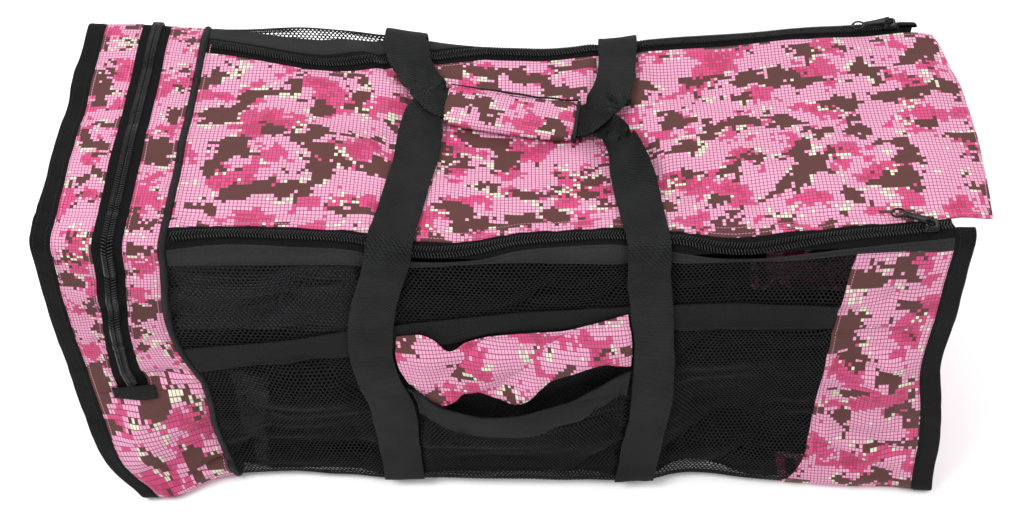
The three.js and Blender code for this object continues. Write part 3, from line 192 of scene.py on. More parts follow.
for rows, up in ((front_web_rows, True), (front_web_rows, False),
                 (rear_web_rows, True), (rear_web_rows, False)):
    held = [row for row in rows if (row[3] < 60 if up else row[3] > 120)]
    web_runs.append(table(web_names, sorted(held, key=lambda row: row[1])))
# Where the middle bands hold the nets flat, and the rear one's place around.
mid_band = table(("at", "place"), ((-0.72, 1.595), (-0.3, 1.7), (0.0, 1.765), (0.3, 1.775), (0.76, 1.74)))
rear_band_place = 3.42


def off_webbing(at, place):
    """Metres from a point to the nearest edge of webbing, below nothing where it is under it."""
    off = np.full(np.broadcast(at, place).shape, 1.0)
    for run in web_runs:
        inside = (place > run["place"][0]) & (place < run["place"][-1])
        aside = np.abs(at - smooth(run, "at", place, "place")) * half_length - web_width / 2
        off = np.where(inside, np.minimum(off, aside), off)
    return off


def soft_field(x, y, seed):
    """A smooth random surface between -1 and 1, with bumps about one unit wide."""
    knots = np.random.default_rng(seed).uniform(-1, 1, (64, 64))
    i, j = np.floor(x).astype(int), np.floor(y).astype(int)
    s, t = x - i, y - j
    s, t = (w * w * w * (w * (w * 6 - 15) + 10) for w in (s, t))
    i, j, k, m = i % 64, j % 64, (i + 1) % 64, (j + 1) % 64
    return (knots[i, j] * (1 - s) + knots[k, j] * s) * (1 - t) + (knots[i, m] * (1 - s) + knots[k, m] * s) * t


def creases(u, v, turn, long, wide, seed):
    """Soft creases that run along the direction turn, in degrees from the bag's length."""
    c, s = math.cos(math.radians(turn)), math.sin(math.radians(turn))
    return soft_field((u * c + v * s) / long, (v * c - u * s) / wide, seed)


def puckers(u, v, turn, long, wide, seed):
    """The same with sharp valleys, for slack cloth that is gathered."""
    return 1 - 2.4 * np.abs(creases(u, v, turn, long, wide, seed))


step = 0.002
along_line = np.arange(-half_length - 0.008, half_length + 0.036, step)
around_line = np.linspace(0, girth, round(girth / step), endpoint=False)
root, piping_at = half_length - 0.021, -half_length + 0.021 + 0.104
form = np.empty((len(along_line), len(around_line), 3))
for i, u in enumerate(along_line):
    flat = outline(u / half_length, around_line)
    drop = 1 - flat[:, 1] / height
    slid = sum(slide * np.exp(-((u / half_length - at) / spread) ** 2
                              - ((around_line - run_of(place)) / (run * height)) ** 2)
               for at, place, spread, run, slide in slide_rows)
    middle, foot = (float(smooth(sections, name, np.array(u / half_length)))
                    for name in ("middle_shift", "foot_shift"))
    form[i, :, 0] = u + half_length * (4 * middle * drop * (1 - drop) + foot * drop ** 2 + slid)
    form[i, :, 1:] = flat
form += box_shift


def facing(grid):
    """The outward direction at each point of the form."""
    ring = np.concatenate([grid[:, -1:], grid, grid[:, :1]], 1)
    out = np.cross(np.gradient(grid, axis=0), ring[:, 2:] - ring[:, :-2])
    return out / np.linalg.norm(out, axis=-1, keepdims=True)


at, u, v = along_line[:, None] / half_length, along_line[:, None], around_line[None, :]
place = np.interp(v, edges, range(len(edges)))
from_floor = np.minimum(np.abs(place - 1), np.abs(place - 4))
standing = ((place > 1) & (place < 4)) * ease(from_floor, 0, 0.12)
off_band = np.minimum(np.abs(place - smooth(mid_band, "place", at)), np.abs(place - rear_band_place)) * height
off_web = off_webbing(at, place)
off_grip = np.where(np.abs(at) < 0.24, np.abs(place - 2.64) * top_depth, 1.0)
kept = standing * ease(1 - np.abs(at), 0, 0.06) * ease(off_band, band_width * 1.2, band_width * 3.5)
kept = kept * ease(off_web + web_width / 2, web_width * 0.5, web_width * 1.1)
kept = kept * ease(off_grip, web_width * 0.7, web_width * 1.4)
rise = 0
for fold_at, fold_place, turn, run, width, fold_rise in fold_rows:
    along, across = (at - fold_at) * half_length, v - run_of(fold_place)
    c, s = math.cos(math.radians(turn)), math.sin(math.radians(turn))
    rise = rise + fold_rise * height * np.exp(-((along * c + across * s) / (run * height)) ** 2
                                              - ((across * c - along * s) / (width * height)) ** 2)
rise = rise * kept

# The cloth's own wrinkles, each kind with its direction, length, width and height, in metres.
on_front = ease(v, front_foot, front_foot + 0.03) * (1 - ease(v, front_edge - 0.05, front_edge))
on_rear = ease(v, rear_edge, rear_edge + 0.05) * (1 - ease(v, rear_foot - 0.03, rear_foot))
on_top = ease(v, front_edge, front_edge + 0.03) * (1 - ease(v, rear_edge - 0.03, rear_edge))
on_gusset = 1 - ease(u, piping_at - 0.004, piping_at)
on_side = ease(u, root - 0.12, root - 0.09)
wrinkle = 0.0022 * soft_field(u / 0.15, v / 0.11, 1) + 0.0010 * soft_field(u / 0.055, v / 0.04, 2)
wrinkle = wrinkle + on_front * on_gusset * (1 - ease(v, 0.40, 0.52) * 0.6) * ease(u + root, 0.002, 0.034) * (
    0.0038 * creases(u, v, 24, 0.10, 0.020, 3) - 0.0044 * puckers(u, v, 22, 0.085, 0.024, 4)
    + 0.0012 * creases(u, v, 34, 0.05, 0.009, 15))
wrinkle = wrinkle + on_front * on_side * (1 - 0.85 * ease(u, root - 0.030, root - 0.002)) * (
    0.0036 * creases(u, v, -31, 0.12, 0.024, 5) - 0.0034 * puckers(u, v, -26, 0.09, 0.028, 6))
wrinkle = wrinkle + on_rear * (on_gusset + on_side) * 0.0018 * creases(u, v, 28, 0.10, 0.022, 7)
wrinkle = wrinkle + (on_front + on_rear) * (1 - on_gusset) * (1 - on_side) * (
    0.0030 * creases(u, v, 0, 0.30, 0.030, 8) + 0.0013 * creases(u, v, 6, 0.12, 0.013, 9)
    - 0.0030 * puckers(u, v, 48, 0.11, 0.060, 20) * on_front)
wrinkle = wrinkle + on_top * (0.0026 * creases(u, v, -24, 0.12, 0.034, 10)
                              - 0.0010 * puckers(u, v, 30, 0.10, 0.040, 11))
# How the lid's front hem and the net's upper edge wander, in metres around.
hem_waves = table(("at", "lid", "net"), (
    (-0.72, -0.002, 0.000), (-0.60, 0.004, 0.000), (-0.446, 0.002, 0.001), (-0.34, 0.001, 0.002),
    (-0.20, -0.010, 0.003), (-0.08, -0.006, 0.010), (0.025, 0.006, 0.013), (0.13, 0.010, 0.012),
    (0.24, 0.009, 0.010), (0.374, -0.002, 0.007), (0.457, -0.010, 0.006), (0.53, -0.012, 0.006),
    (0.631, -0.008, 0.006), (0.75, -0.004, 0.010), (0.88, -0.001, 0.009), (1.06, 0.002, 0.008)))


def lid_edge(u):
    return front_edge + 0.024 + smooth(hem_waves, "lid", u / half_length)


from_hem = v - lid_edge(u)
wrinkle = wrinkle + (from_hem > -0.03) * on_top * (
    -0.0018 * np.exp(-((from_hem - 0.017) / 0.005) ** 2)
    + 0.0011 * np.exp(-np.abs(from_hem) / 0.016) * soft_field(u / 0.0095, v / 0.05, 12))
from_piping = np.abs(u - piping_at)
wrinkle = wrinkle + 0.0007 * np.exp(-from_piping / 0.012) * soft_field(u / 0.03, v / 0.008, 13)
from_flange = np.minimum(np.abs(u - root), np.abs(u + root))
wrinkle = wrinkle + 0.0007 * np.exp(-from_flange / 0.012) * soft_field(u / 0.03 + 9, v / 0.009, 14)
wrinkle = wrinkle * standing * ease(off_web, -0.004, 0.012) * ease(off_band, 0.010, 0.024)
wrinkle = wrinkle * ease(off_grip, 0.024, 0.04)
form += facing(form) * (rise + wrinkle)[..., None]
# The foot of the front wall stands in soft waves.
foot_wave = np.exp(-((v - front_foot) / 0.035) ** 2) * ease(1 - np.abs(at), 0, 0.1)
form[..., 1] -= 0.0065 * foot_wave * soft_field(u / 0.07, 0 * v, 16)
form[..., 2] += 0.0030 * foot_wave * (1 + soft_field(u / 0.05, 0 * v, 17)) * (v >= front_foot)
form[..., 2] = np.maximum(form[..., 2], 0)
skin_grid = np.concatenate([form, facing(form)], -1)


def smoothly(t):
    """The shares of four neighbours in a smooth curve between the middle two."""
    return np.stack([((2 - t) * t - 1) * t, (3 * t - 5) * t * t + 2, ((4 - 3 * t) * t + 1) * t,
                     (t - 1) * t * t]) / 2


def skin(u, v, rise=0.0):
    """The point of the sewn shell at u metres along and v metres around, and its outward direction."""
    u, v = np.broadcast_arrays(np.asarray(u, float), np.asarray(v, float))
    a = np.clip((u - along_line[0]) / step, 1, len(along_line) - 2.001)
    b = (v % girth) / girth * len(around_line)
    i, j = np.floor(a).astype(int), np.floor(b).astype(int)
    wide, tall = smoothly(a - i), smoothly(b - j)
    found = 0
    for p in range(4):
        for q in range(4):
            near = skin_grid[np.clip(i + p - 1, 0, len(along_line) - 1), (j + q - 1) % len(around_line)]
            found = found + near * (wide[p] * tall[q])[..., None]
    outward = found[..., 3:] / np.linalg.norm(found[..., 3:], axis=-1, keepdims=True)
    spot = found[..., :3] + outward * np.broadcast_to(rise, u.shape)[..., None]
    spot[..., 2] = np.maximum(spot[..., 2], 0.0001)
    return spot, outward


def make_piece(name, points, faces, material, slot, replaced=(), weave=None, body="bag"):
    """A mesh piece from arrays, riding on its body. weave is each point's place on its cloth, metres."""
    points = np.asarray(points, float).reshape(-1, 3)
    mesh = bpy.data.meshes.new(name)
    mesh.vertices.add(len(points))
    mesh.vertices.foreach_set("co", points.ravel())
    corners = np.concatenate([np.asarray(group).ravel() for group in faces])
    sizes = np.concatenate([np.full(len(group), group.shape[1]) for group in faces])
    mesh.loops.add(len(corners))
    mesh.loops.foreach_set("vertex_index", corners)
    mesh.polygons.add(len(sizes))
    mesh.polygons.foreach_set("loop_start", np.concatenate([[0], np.cumsum(sizes)[:-1]]))
    mesh.polygons.foreach_set("use_smooth", np.ones(len(sizes), bool))
    mesh.update()
    if weave is not None:
        layer_uv = mesh.uv_layers.new(name="weave")
        layer_uv.data.foreach_set("uv", np.asarray(weave, float).reshape(-1, 2)[corners].ravel())
    mesh.materials.append(material)
    piece = bpy.data.objects.new(name, mesh)
    scene.collection.objects.link(piece)
    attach(piece, body)
    if replaced:
        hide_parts(*replaced)
    return piece


def grid_faces(columns, rows, close_rows=False):
    """Four-sided faces between the points of a grid; close_rows joins its last row to its first."""
    i, j = np.meshgrid(np.arange(columns - 1), np.arange(rows if close_rows else rows - 1), indexing="ij")
    k = (j + 1) % rows
    return np.stack([i * rows + j, (i + 1) * rows + j, (i + 1) * rows + k, i * rows + k], -1).reshape(-1, 4)


def turned_edge(count, width, thick, hem):
    """Shares across a panel and its drop at each, with both edges rounded and turned under."""
    edge, back = thick * 0.5 / width, hem / width
    inner = np.linspace(edge, 1 - edge, count)
    shares = np.concatenate([[back, edge, 0, 0], inner, [1, 1, 1 - edge, 1 - back]])
    drops = np.concatenate([[-thick * 1.05, -thick, -thick * 0.72, -thick * 0.28], np.zeros(count),
                            [-thick * 0.28, -thick * 0.72, -thick, -thick * 1.05]])
    return shares, drops


def value_of(entry, *places):
    """An edge or a lift is a number or a function of the place."""
    return entry(*places) if callable(entry) else entry


def cloth_panel(name, left, right, low, high, material, slot, replaced=(), lift=0.0, spacing=0.0028,
                thick=0.0016, hem=0.007, cut_from=(0.0, 0.0)):
    """Cloth over the form between two edges along it and two around it, numbers or functions."""
    mid_v = (value_of(low, 0.0) + value_of(high, 0.0)) / 2
    mid_u = (value_of(left, mid_v) + value_of(right, mid_v)) / 2
    width = value_of(right, mid_v) - value_of(left, mid_v)
    tall = value_of(high, mid_u) - value_of(low, mid_u)
    across, drop_u = turned_edge(max(3, round(width / spacing)), width, thick, hem)
    around, drop_v = turned_edge(max(3, round(tall / spacing)), tall, thick, hem)
    s, t = across[:, None], around[None, :]
    guess = value_of(left, mid_v) + width * s
    v = value_of(low, guess) * (1 - t) + value_of(high, guess) * t
    u = value_of(left, v) * (1 - s) + value_of(right, v) * s
    v = value_of(low, u) * (1 - t) + value_of(high, u) * t
    rise = np.minimum(drop_u[:, None], drop_v[None, :]) + value_of(lift, u, v)
    spots, _ = skin(u, v, rise)
    cut = cut_from(u, v) if callable(cut_from) else (u + cut_from[0], v + cut_from[1])
    weave = np.stack(np.broadcast_arrays(*cut), -1)
    faces = [grid_faces(len(across), len(around))]
    return make_piece(name, spots, faces, material, slot, replaced, weave)


def add_node(tree, kind, inputs=None, **settings):
    made = tree.nodes.new(kind)
    for key, value in settings.items():
        setattr(made, key, value)
    for key, value in (inputs or {}).items():
        if isinstance(value, bpy.types.NodeSocket):
            tree.links.new(value, made.inputs[key])
        else:
            made.inputs[key].default_value = value
    return made


def reckon(tree, operation, *values):
    return add_node(tree, "ShaderNodeMath", dict(enumerate(values)), operation=operation).outputs[0]


def new_material(name, colour, roughness):
    made = bpy.data.materials.new(name)
    made.use_nodes = True
    made.diffuse_color = (*colour, 1)
    shader = made.node_tree.nodes["Principled BSDF"]
    shader.inputs["Base Color"].default_value = (*colour, 1)
    shader.inputs["Roughness"].default_value = roughness
    return made, made.node_tree, shader


def cloth_place(tree, scale):
    """The place on the cloth, in threads of the given size."""
    made = add_node(tree, "ShaderNodeUVMap", uv_map="weave")
    scaled = add_node(tree, "ShaderNodeVectorMath", {0: made.outputs[0], 1: (1 / scale, 1 / scale, 1)},
                      operation="MULTIPLY")
    return scaled.outputs[0]


def noise_of(tree, vector, scale, detail=2.0, roughness=0.5, kind="3D"):
    made = add_node(tree, "ShaderNodeTexNoise", {"Vector": vector, "Scale": scale, "Detail": detail,
                                                 "Roughness": roughness}, noise_dimensions=kind)
    return made.outputs[0]


def mixed(tree, share, first, second):
    made = add_node(tree, "ShaderNodeMix", data_type="RGBA", clamp_factor=True)
    for socket, value in ((0, share), (6, first), (7, second)):
        if isinstance(value, bpy.types.NodeSocket):
            tree.links.new(value, made.inputs[socket])
        else:
            made.inputs[socket].default_value = value if socket == 0 else (*value, 1)
    return made.outputs[2]


def over_under(tree, threads):
    """Height of a plain weave: threads pass over and under each other by turns."""
    apart = add_node(tree, "ShaderNodeSeparateXYZ", {0: threads})
    waves = [reckon(tree, "SINE", reckon(tree, "MULTIPLY", apart.outputs[k], math.pi)) for k in (0, 1)]
    return reckon(tree, "MULTIPLY", *waves)


def bumped(tree, shader, height_socket, distance, strength=1.0):
    bump = add_node(tree, "ShaderNodeBump", {"Height": height_socket, "Distance": distance,
                                             "Strength": strength})
    tree.links.new(bump.outputs[0], shader.inputs["Normal"])


def black_cloth(name, colour, roughness, thread, wear=0.5, shine=0.14):
    """Black woven cloth: colour and roughness shift a little from place to place, over a plain weave."""
    made, tree, shader = new_material(name, colour, roughness)
    shader.inputs["Specular IOR Level"].default_value = shine
    place = cloth_place(tree, thread)
    ground = add_node(tree, "ShaderNodeTexCoord").outputs["Object"]
    patches = noise_of(tree, ground, 24, 4.0, 0.6)
    dust = noise_of(tree, ground, 320, 2.0, 0.6)
    lighter = tuple(c * 2.4 + 0.004 for c in colour)
    share = reckon(tree, "MULTIPLY", reckon(tree, "MULTIPLY", patches, dust), wear * 1.6)
    tree.links.new(mixed(tree, share, colour, lighter), shader.inputs["Base Color"])
    tree.links.new(reckon(tree, "MULTIPLY_ADD", patches, 0.25, roughness - 0.12), shader.inputs["Roughness"])
    bumped(tree, shader, over_under(tree, place), thread * 0.35)
    return made


base_cloth = black_cloth("base_cloth", (0.007, 0.007, 0.008), 0.6, 0.0009)
net_fold = 0.048
net_low = front_foot - net_fold
cloth_panel("base_sheet", piping_at - 0.005, root, -net_low, net_low, base_cloth, "black_cloth",
            ("base_panel",), lift=0.0004, spacing=0.008, thick=0.0003)

# The net walls: one black warp-knit net on each long side, real holes on a pitch of 4.6 mm, folded under
# the bag and sewn to the base. Its threads are round ridges between the holes.
net_pitch, net_open, thread_depth = 0.0046, 0.60, 0.0009
side_rows = ((0.90, 0.36), (1.00, 0.33), (1.06, 0.24), (1.13, 0.15), (1.2, 0.12), (1.45, 0.06),
             (1.7, 0.02), (2.0, -0.08))
side_seam = table(("place", "share"), side_rows)
side_depth = 0.100


def seam_front(v):
    place = np.interp(v, edges, range(len(edges)))
    return root - side_depth * (1 + smooth(side_seam, "share", place, "place"))


def seam_rear(v):
    return seam_front(girth - v)


def net_wall(name, left, right, low, high, material, slot, replaced, lift=0.0, pitch=net_pitch):
    """A sheet of six-sided net cells over the form, their shared corners joined."""
    mid_v = (value_of(low, 0.0) + value_of(high, 0.0)) / 2
    width_at = [value_of(f, mid_v) for f in (left, right)]
    v_range = [value_of(low, 0.0) - 0.03, value_of(high, 0.0) + 0.07]
    columns = np.arange(width_at[0] - 0.06, width_at[1] + 0.06, pitch)
    lines = np.arange(v_range[0], v_range[1], pitch * math.sqrt(0.75))
    u, v = np.meshgrid(columns, lines, indexing="ij")
    u = u + (np.arange(len(lines)) % 2)[None, :] * pitch / 2
    inside = ((u > value_of(left, v) + pitch * 0.3) & (u < value_of(right, v) - pitch * 0.3)
              & (v > value_of(low, u)) & (v < value_of(high, u)))
    u, v = u[inside], v[inside]
    turns = math.pi / 6 + np.arange(6) * math.pi / 3
    ring_u, ring_v = np.cos(turns) / math.sqrt(3), np.sin(turns) / math.sqrt(3)
    outer = np.stack([u[:, None] + ring_u * pitch, v[:, None] + ring_v * pitch], -1)
    keys = np.round(outer.reshape(-1, 2) / (pitch / 12)).astype(np.int64)
    _, first, joined = np.unique(keys[:, 0] * 1000003 + keys[:, 1], return_index=True, return_inverse=True)
    corner = outer.reshape(-1, 2)[first]
    wobble = 1 + 0.10 * soft_field(u / 0.011, v / 0.008, 21)
    inner = np.stack([u[:, None] + ring_u * pitch * net_open * wobble[:, None],
                      v[:, None] + ring_v * pitch * net_open * wobble[:, None] * 1.04], -1).reshape(-1, 2)
    cells, count = len(u), len(first)
    outside = joined.reshape(cells, 6)
    within = count + np.arange(cells * 6).reshape(cells, 6)
    faces = np.stack([outside, np.roll(outside, -1, 1), np.roll(within, -1, 1), within], -1).reshape(-1, 4)
    flat = np.concatenate([corner, inner])
    low_side = np.concatenate([np.zeros(count), np.full(cells * 6, -thread_depth)])
    spots, _ = skin(flat[:, 0], flat[:, 1], value_of(lift, flat[:, 0], flat[:, 1]) + low_side)
    return make_piece(name, spots, [faces], material, slot, replaced, flat)


net_thread = black_cloth("net_thread", (0.0030, 0.0030, 0.0034), 0.5, 0.0007, 0.5, 0.15)
tape_shown, chain_off, zip_band_width = 0.024, 0.012, 0.021


def band_low(u):
    """The lower edge of the front zipper's band, where the net begins."""
    return front_edge - zip_band_width + smooth(hem_waves, "net", u / half_length)


slip_table = table(("at", "slip"), [(row[0], row[-1]) for row in section_rows])


def behind_lid(distance):
    """A line that far behind the lid's rear edge."""
    return lambda u: rear_edge + distance - np.maximum(0.024, smooth(slip_table, "slip", u / half_length)
                                                       * top_depth)


rear_band_low = behind_lid(tape_shown + zip_band_width)
under_seam = 0.003
net_wall("front_net_wall", piping_at + 0.002, lambda v: seam_front(v) + under_seam, front_foot - 0.012,
         lambda u: band_low(u) + under_seam, net_thread, "net", ("front_net",), lift=-0.0006)
net_wall("rear_net_wall", piping_at + 0.002, lambda v: seam_rear(v) + under_seam,
         lambda u: rear_band_low(u) - under_seam, rear_foot + 0.012, net_thread, "net", ("rear_net",),
         lift=-0.0006)
# Two doubled areas at the left of the front net show a paler second layer through its holes.
net_second = black_cloth("net_second", (0.075, 0.070, 0.078), 0.7, 0.0007, 0.5, 0.10)
second_layers = ((piping_at + 0.006, -0.150, run_of(1.70), run_of(1.94)),
                 (-0.305, lambda v: -0.295 + (v - front_foot) * 0.18, run_of(1.03), run_of(1.53)))
for number, (left, right, low, high) in enumerate(second_layers, 1):
    net_wall(f"net_second_layer_{number}", left, right, low, high, net_second, "net", (), lift=-0.006)


def turnup_lift(u, v):
    """The turned-up edge lies on the floor in front and just inside the net behind."""
    return 0.0004 - 0.003 * (1 - ease(v, rear_foot - 0.01, rear_foot + 0.01)) * (v > rear_edge)


turnups = (("front", net_low, lambda u: front_foot - 0.020 - 0.010 * soft_field(u / 0.07, 0 * u, 18)),
           ("rear", lambda u: rear_foot - 0.015 - 0.008 * soft_field(u / 0.07, 0 * u, 19), girth - net_low))
for side, low, high in turnups:
    cloth_panel(side + "_net_turnup", piping_at - 0.002, root - 0.115, low, high, base_cloth, "black_cloth",
                lift=turnup_lift, spacing=0.006, thick=0.0003)

# Digital camouflage: a coated polyester weave printed with square dots of four tones on a brown ground.
# The side panels, sewn to the nets and to the right flange, are the first pieces cut from it.
dot = 0.0039
tones = {"ground": (0.150, 0.045, 0.068), "hot": (0.600, 0.058, 0.185), "deep": (0.480, 0.036, 0.125),
         "light": (0.730, 0.320, 0.480), "cream": (0.640, 0.660, 0.500), "brown": (0.084, 0.029, 0.026)}


# The tones' shares: each starts where its soft random field passes its number.
hot_from, deep_from, cream_from, cream_gap, cream_border = 0.545, 0.655, 0.575, 0.25, 0.075
gap_inner, gap_outer = 0.045, 0.12


def camouflage(name, seed, dot_size=dot, brown_from=0.558):
    """Camouflage cloth from random fields on a grid of dots; each seed gives its own layout."""
    made, tree, shader = new_material(name, tones["light"], 0.62)
    shader.inputs["Specular IOR Level"].default_value = 0.22
    place = cloth_place(tree, dot_size)
    cell = add_node(tree, "ShaderNodeVectorMath", {0: place}, operation="FLOOR").outputs[0]
    part = add_node(tree, "ShaderNodeVectorMath", {0: place}, operation="FRACTION").outputs[0]
    alone = add_node(tree, "ShaderNodeTexWhiteNoise", {"Vector": cell}, noise_dimensions="2D").outputs[0]
    stray = reckon(tree, "MULTIPLY_ADD", alone, 0.06, -0.03)
    fields = []
    for k, size in enumerate((0.100, 0.085, 0.13)):
        moved = add_node(tree, "ShaderNodeVectorMath", {0: cell, 1: (seed * 31.7 + k * 57.3, seed * 17.9, k)},
                         operation="ADD").outputs[0]
        squared = add_node(tree, "ShaderNodeVectorMath", {0: moved, 1: (0.85, 1.2, 1)},
                           operation="MULTIPLY").outputs[0]
        field = noise_of(tree, squared, size, 3.5, 0.62, "2D")
        fields.append(reckon(tree, "ADD", field, stray))
    is_hot = reckon(tree, "GREATER_THAN", fields[1], hot_from)
    is_deep = reckon(tree, "GREATER_THAN", fields[1], deep_from)
    is_brown = reckon(tree, "GREATER_THAN", fields[0], brown_from)
    near_brown = reckon(tree, "MULTIPLY", reckon(tree, "GREATER_THAN", fields[0], brown_from - cream_border),
                        reckon(tree, "LESS_THAN", fields[0], brown_from))
    is_cream = reckon(tree, "MULTIPLY", near_brown, reckon(tree, "GREATER_THAN", fields[2], cream_from))
    is_cream = reckon(tree, "MULTIPLY", is_cream, reckon(tree, "GREATER_THAN", alone, cream_gap))
    shade = mixed(tree, is_hot, tones["light"], tones["hot"])
    shade = mixed(tree, is_deep, shade, tones["deep"])
    shade = mixed(tree, is_cream, shade, tones["cream"])
    apart = add_node(tree, "ShaderNodeSeparateXYZ", {0: part})
    sides = []
    for k in (0, 1):
        off = reckon(tree, "ABSOLUTE", reckon(tree, "SUBTRACT", apart.outputs[k], 0.5))
        sides.append(reckon(tree, "MULTIPLY_ADD", off, -1.0, 0.5))
    gap = reckon(tree, "MINIMUM", *sides)
    on_dot = add_node(tree, "ShaderNodeMapRange", {"Value": gap, "From Min": gap_inner, "From Max": gap_outer})
    shade = mixed(tree, on_dot.outputs[0], tones["ground"], shade)
    shade = mixed(tree, is_brown, shade, tones["brown"])
    ground = add_node(tree, "ShaderNodeTexCoord").outputs["Object"]
    faded = noise_of(tree, ground, 14, 3.0, 0.6)
    tone = reckon(tree, "MULTIPLY_ADD", faded, 0.30, 0.85)
    toned = add_node(tree, "ShaderNodeVectorMath", {0: shade, "Scale": tone}, operation="SCALE").outputs[0]
    tree.links.new(toned, shader.inputs["Base Color"])
    tree.links.new(reckon(tree, "MULTIPLY_ADD", faded, 0.3, 0.45), shader.inputs["Roughness"])
    bumped(tree, shader, over_under(tree, cloth_place(tree, 0.0007)), 0.00022)
    return made


side_camo = camouflage("side_camouflage", 1)
for side, seam, low, high in (("front", seam_front, net_low, band_low),
                              ("rear", seam_rear, rear_band_low, girth - net_low)):
    cloth_panel(side + "_side_cloth", seam, root, low, high, side_camo, "camouflage",
                (side + "_side_panel",), spacing=0.0024, cut_from=lambda u, v: (u * 1.06 + 0.31, v * 0.76))

# The upright end walls: camouflage at the two ends, a black cloth wall behind the end pocket. Each is a
# single sheet that hangs a little slack between its bound edges.
def end_wall(name, u, belly, material, slot, replaced, spacing=0.004):
    across, rows = round(0.32 / spacing), round(0.40 / spacing)
    p, q = np.linspace(0, 1, across)[:, None, None], np.linspace(0, 1, rows)[None, :, None]
    inset = -0.003
    low, high = front_foot - 0.018, front_edge + 0.012
    front = skin(u, low + (high - low) * q[0, :, 0], inset)[0][None]
    rear = skin(u, girth - low - (high - low) * q[0, :, 0], inset)[0][None]
    base = skin(u, low - 2 * low * p[:, 0, 0], inset)[0][:, None]
    base[..., 2] = 0.002
    top = skin(u, high + (girth - 2 * high) * p[:, 0, 0], inset)[0][:, None]
    spots = ((1 - p) * front + p * rear + (1 - q) * base + q * top
             - (1 - p) * (1 - q) * front[:, :1] - p * (1 - q) * rear[:, :1]
             - (1 - p) * q * front[:, -1:] - p * q * rear[:, -1:])
    y, z = spots[..., 1], spots[..., 2]
    swell = np.sin(np.pi * p[..., 0]) * np.sin(np.pi * q[..., 0])
    way = math.copysign(1, belly) if belly else 1
    spots[..., 0] += belly * swell + way * ease(swell, 0, 0.3) * (
        0.0035 * creases(y, z, 35, 0.16, 0.05, 31) + 0.0016 * creases(y, z, -48, 0.09, 0.025, 32))
    weave = np.stack([y * way, z], -1)
    order = grid_faces(across, rows)
    return make_piece(name, spots, [order if way > 0 else order[:, ::-1]], material, slot, replaced, weave)


end_camo = camouflage("end_camouflage", 2)
end_wall("left_end_cloth", -root + 0.002, -0.004, end_camo, "camouflage", ("left_end_panel",))
end_wall("right_end_cloth", root - 0.002, 0.004, end_camo, "camouflage", ("right_end_panel",))
end_wall("end_pocket_cloth", piping_at, 0.0, base_cloth, "black_cloth", ("end_pocket_wall",), 0.008)

# The end pocket's gusset: one strip of camouflage round the bag, slit down both walls for its zipper and
# in one piece below it, where the slack cloth puckers.
gusset_from, gusset_to = -root, piping_at - 0.0037
zip_way = table(("place", "share"), ((1.4, 0.39), (1.55, 0.40), (1.75, 0.51), (2.1, 0.53), (3.8, 0.52)))
end_zip_low, end_zip_high = front_edge - 0.212, rear_edge + 0.212
half_tape = 0.0145


def end_zip(v):
    place = np.interp(v, edges, range(len(edges)))
    return gusset_from + (gusset_to - gusset_from) * smooth(zip_way, "share", place, "place")


def gusset_weave(u, v):
    """The strip's own cloth, stretched down the slack part below the zipper."""
    return u * 1.1 + 0.62, v + 0.1 + 0.58 * np.maximum(0, end_zip_low + 0.03 - v)


gusset_camo = camouflage("gusset_camouflage", 3, dot * 0.90)
for name, left, right, low, high in (
        ("gusset_left", gusset_from, lambda v: end_zip(v) - half_tape, end_zip_low, end_zip_high),
        ("gusset_right", lambda v: end_zip(v) + half_tape, gusset_to, end_zip_low, end_zip_high),
        ("gusset_base", gusset_from, gusset_to, end_zip_high - girth, end_zip_low)):
    cloth_panel(name, left, right, low, high, gusset_camo, "camouflage", ("end_gusset",), spacing=0.0024,
                cut_from=gusset_weave)

# The bound flanges: both ends' seams stand out as a stiff strip, wrapped in a folded black tape that is
# stitched through. The left one runs all round, the right one up to the lid.
binding_width = 0.021
binding_tape = black_cloth("binding_tape", (0.0036, 0.0034, 0.0036), 0.6, 0.0012, 0.7, 0.07)
binding_profile = ((0.0, -0.0030), (0.0, -0.0004), (0.04, 0.0), (0.30, 0.0004), (0.66, 0.0002), (0.90, 0.0002),
                   (0.97, -0.0002), (1.0, -0.0015), (0.97, -0.0028), (0.90, -0.0032), (0.30, -0.0034))


def bound_edge(name, from_u, way, low, high, replaced):
    v = np.arange(low, high, 0.003)
    ripple = 0.0011 * soft_field(v / 0.06, v * 0 + way, 41) + 0.0007 * soft_field(v / 0.014, v * 0, 42)
    out = 1 + 0.05 * soft_field(v / 0.05, v * 0 + 3, 43)
    shares, rises = np.array(binding_profile).T
    u = from_u + way * binding_width * shares[None, :] * out[:, None]
    rise = rises[None, :] + ripple[:, None] * shares[None, :]
    spots, _ = skin(u, v[:, None], rise)
    around = np.broadcast_to(v[:, None], u.shape)
    weave = np.stack([np.broadcast_to(shares * 0.03, u.shape), around], -1)
    faces = grid_faces(len(v), len(shares), True)
    return make_piece(name, spots, [faces if way < 0 else faces[:, ::-1]], binding_tape, "black_cloth",
                      replaced, weave)


bound_edge("left_flange", -root, -1, 0.0, girth + 0.003, ("left_binding",))
bound_edge("right_flange", root, 1, rear_edge - 0.012 - girth, front_edge + 0.012, ("right_binding",))

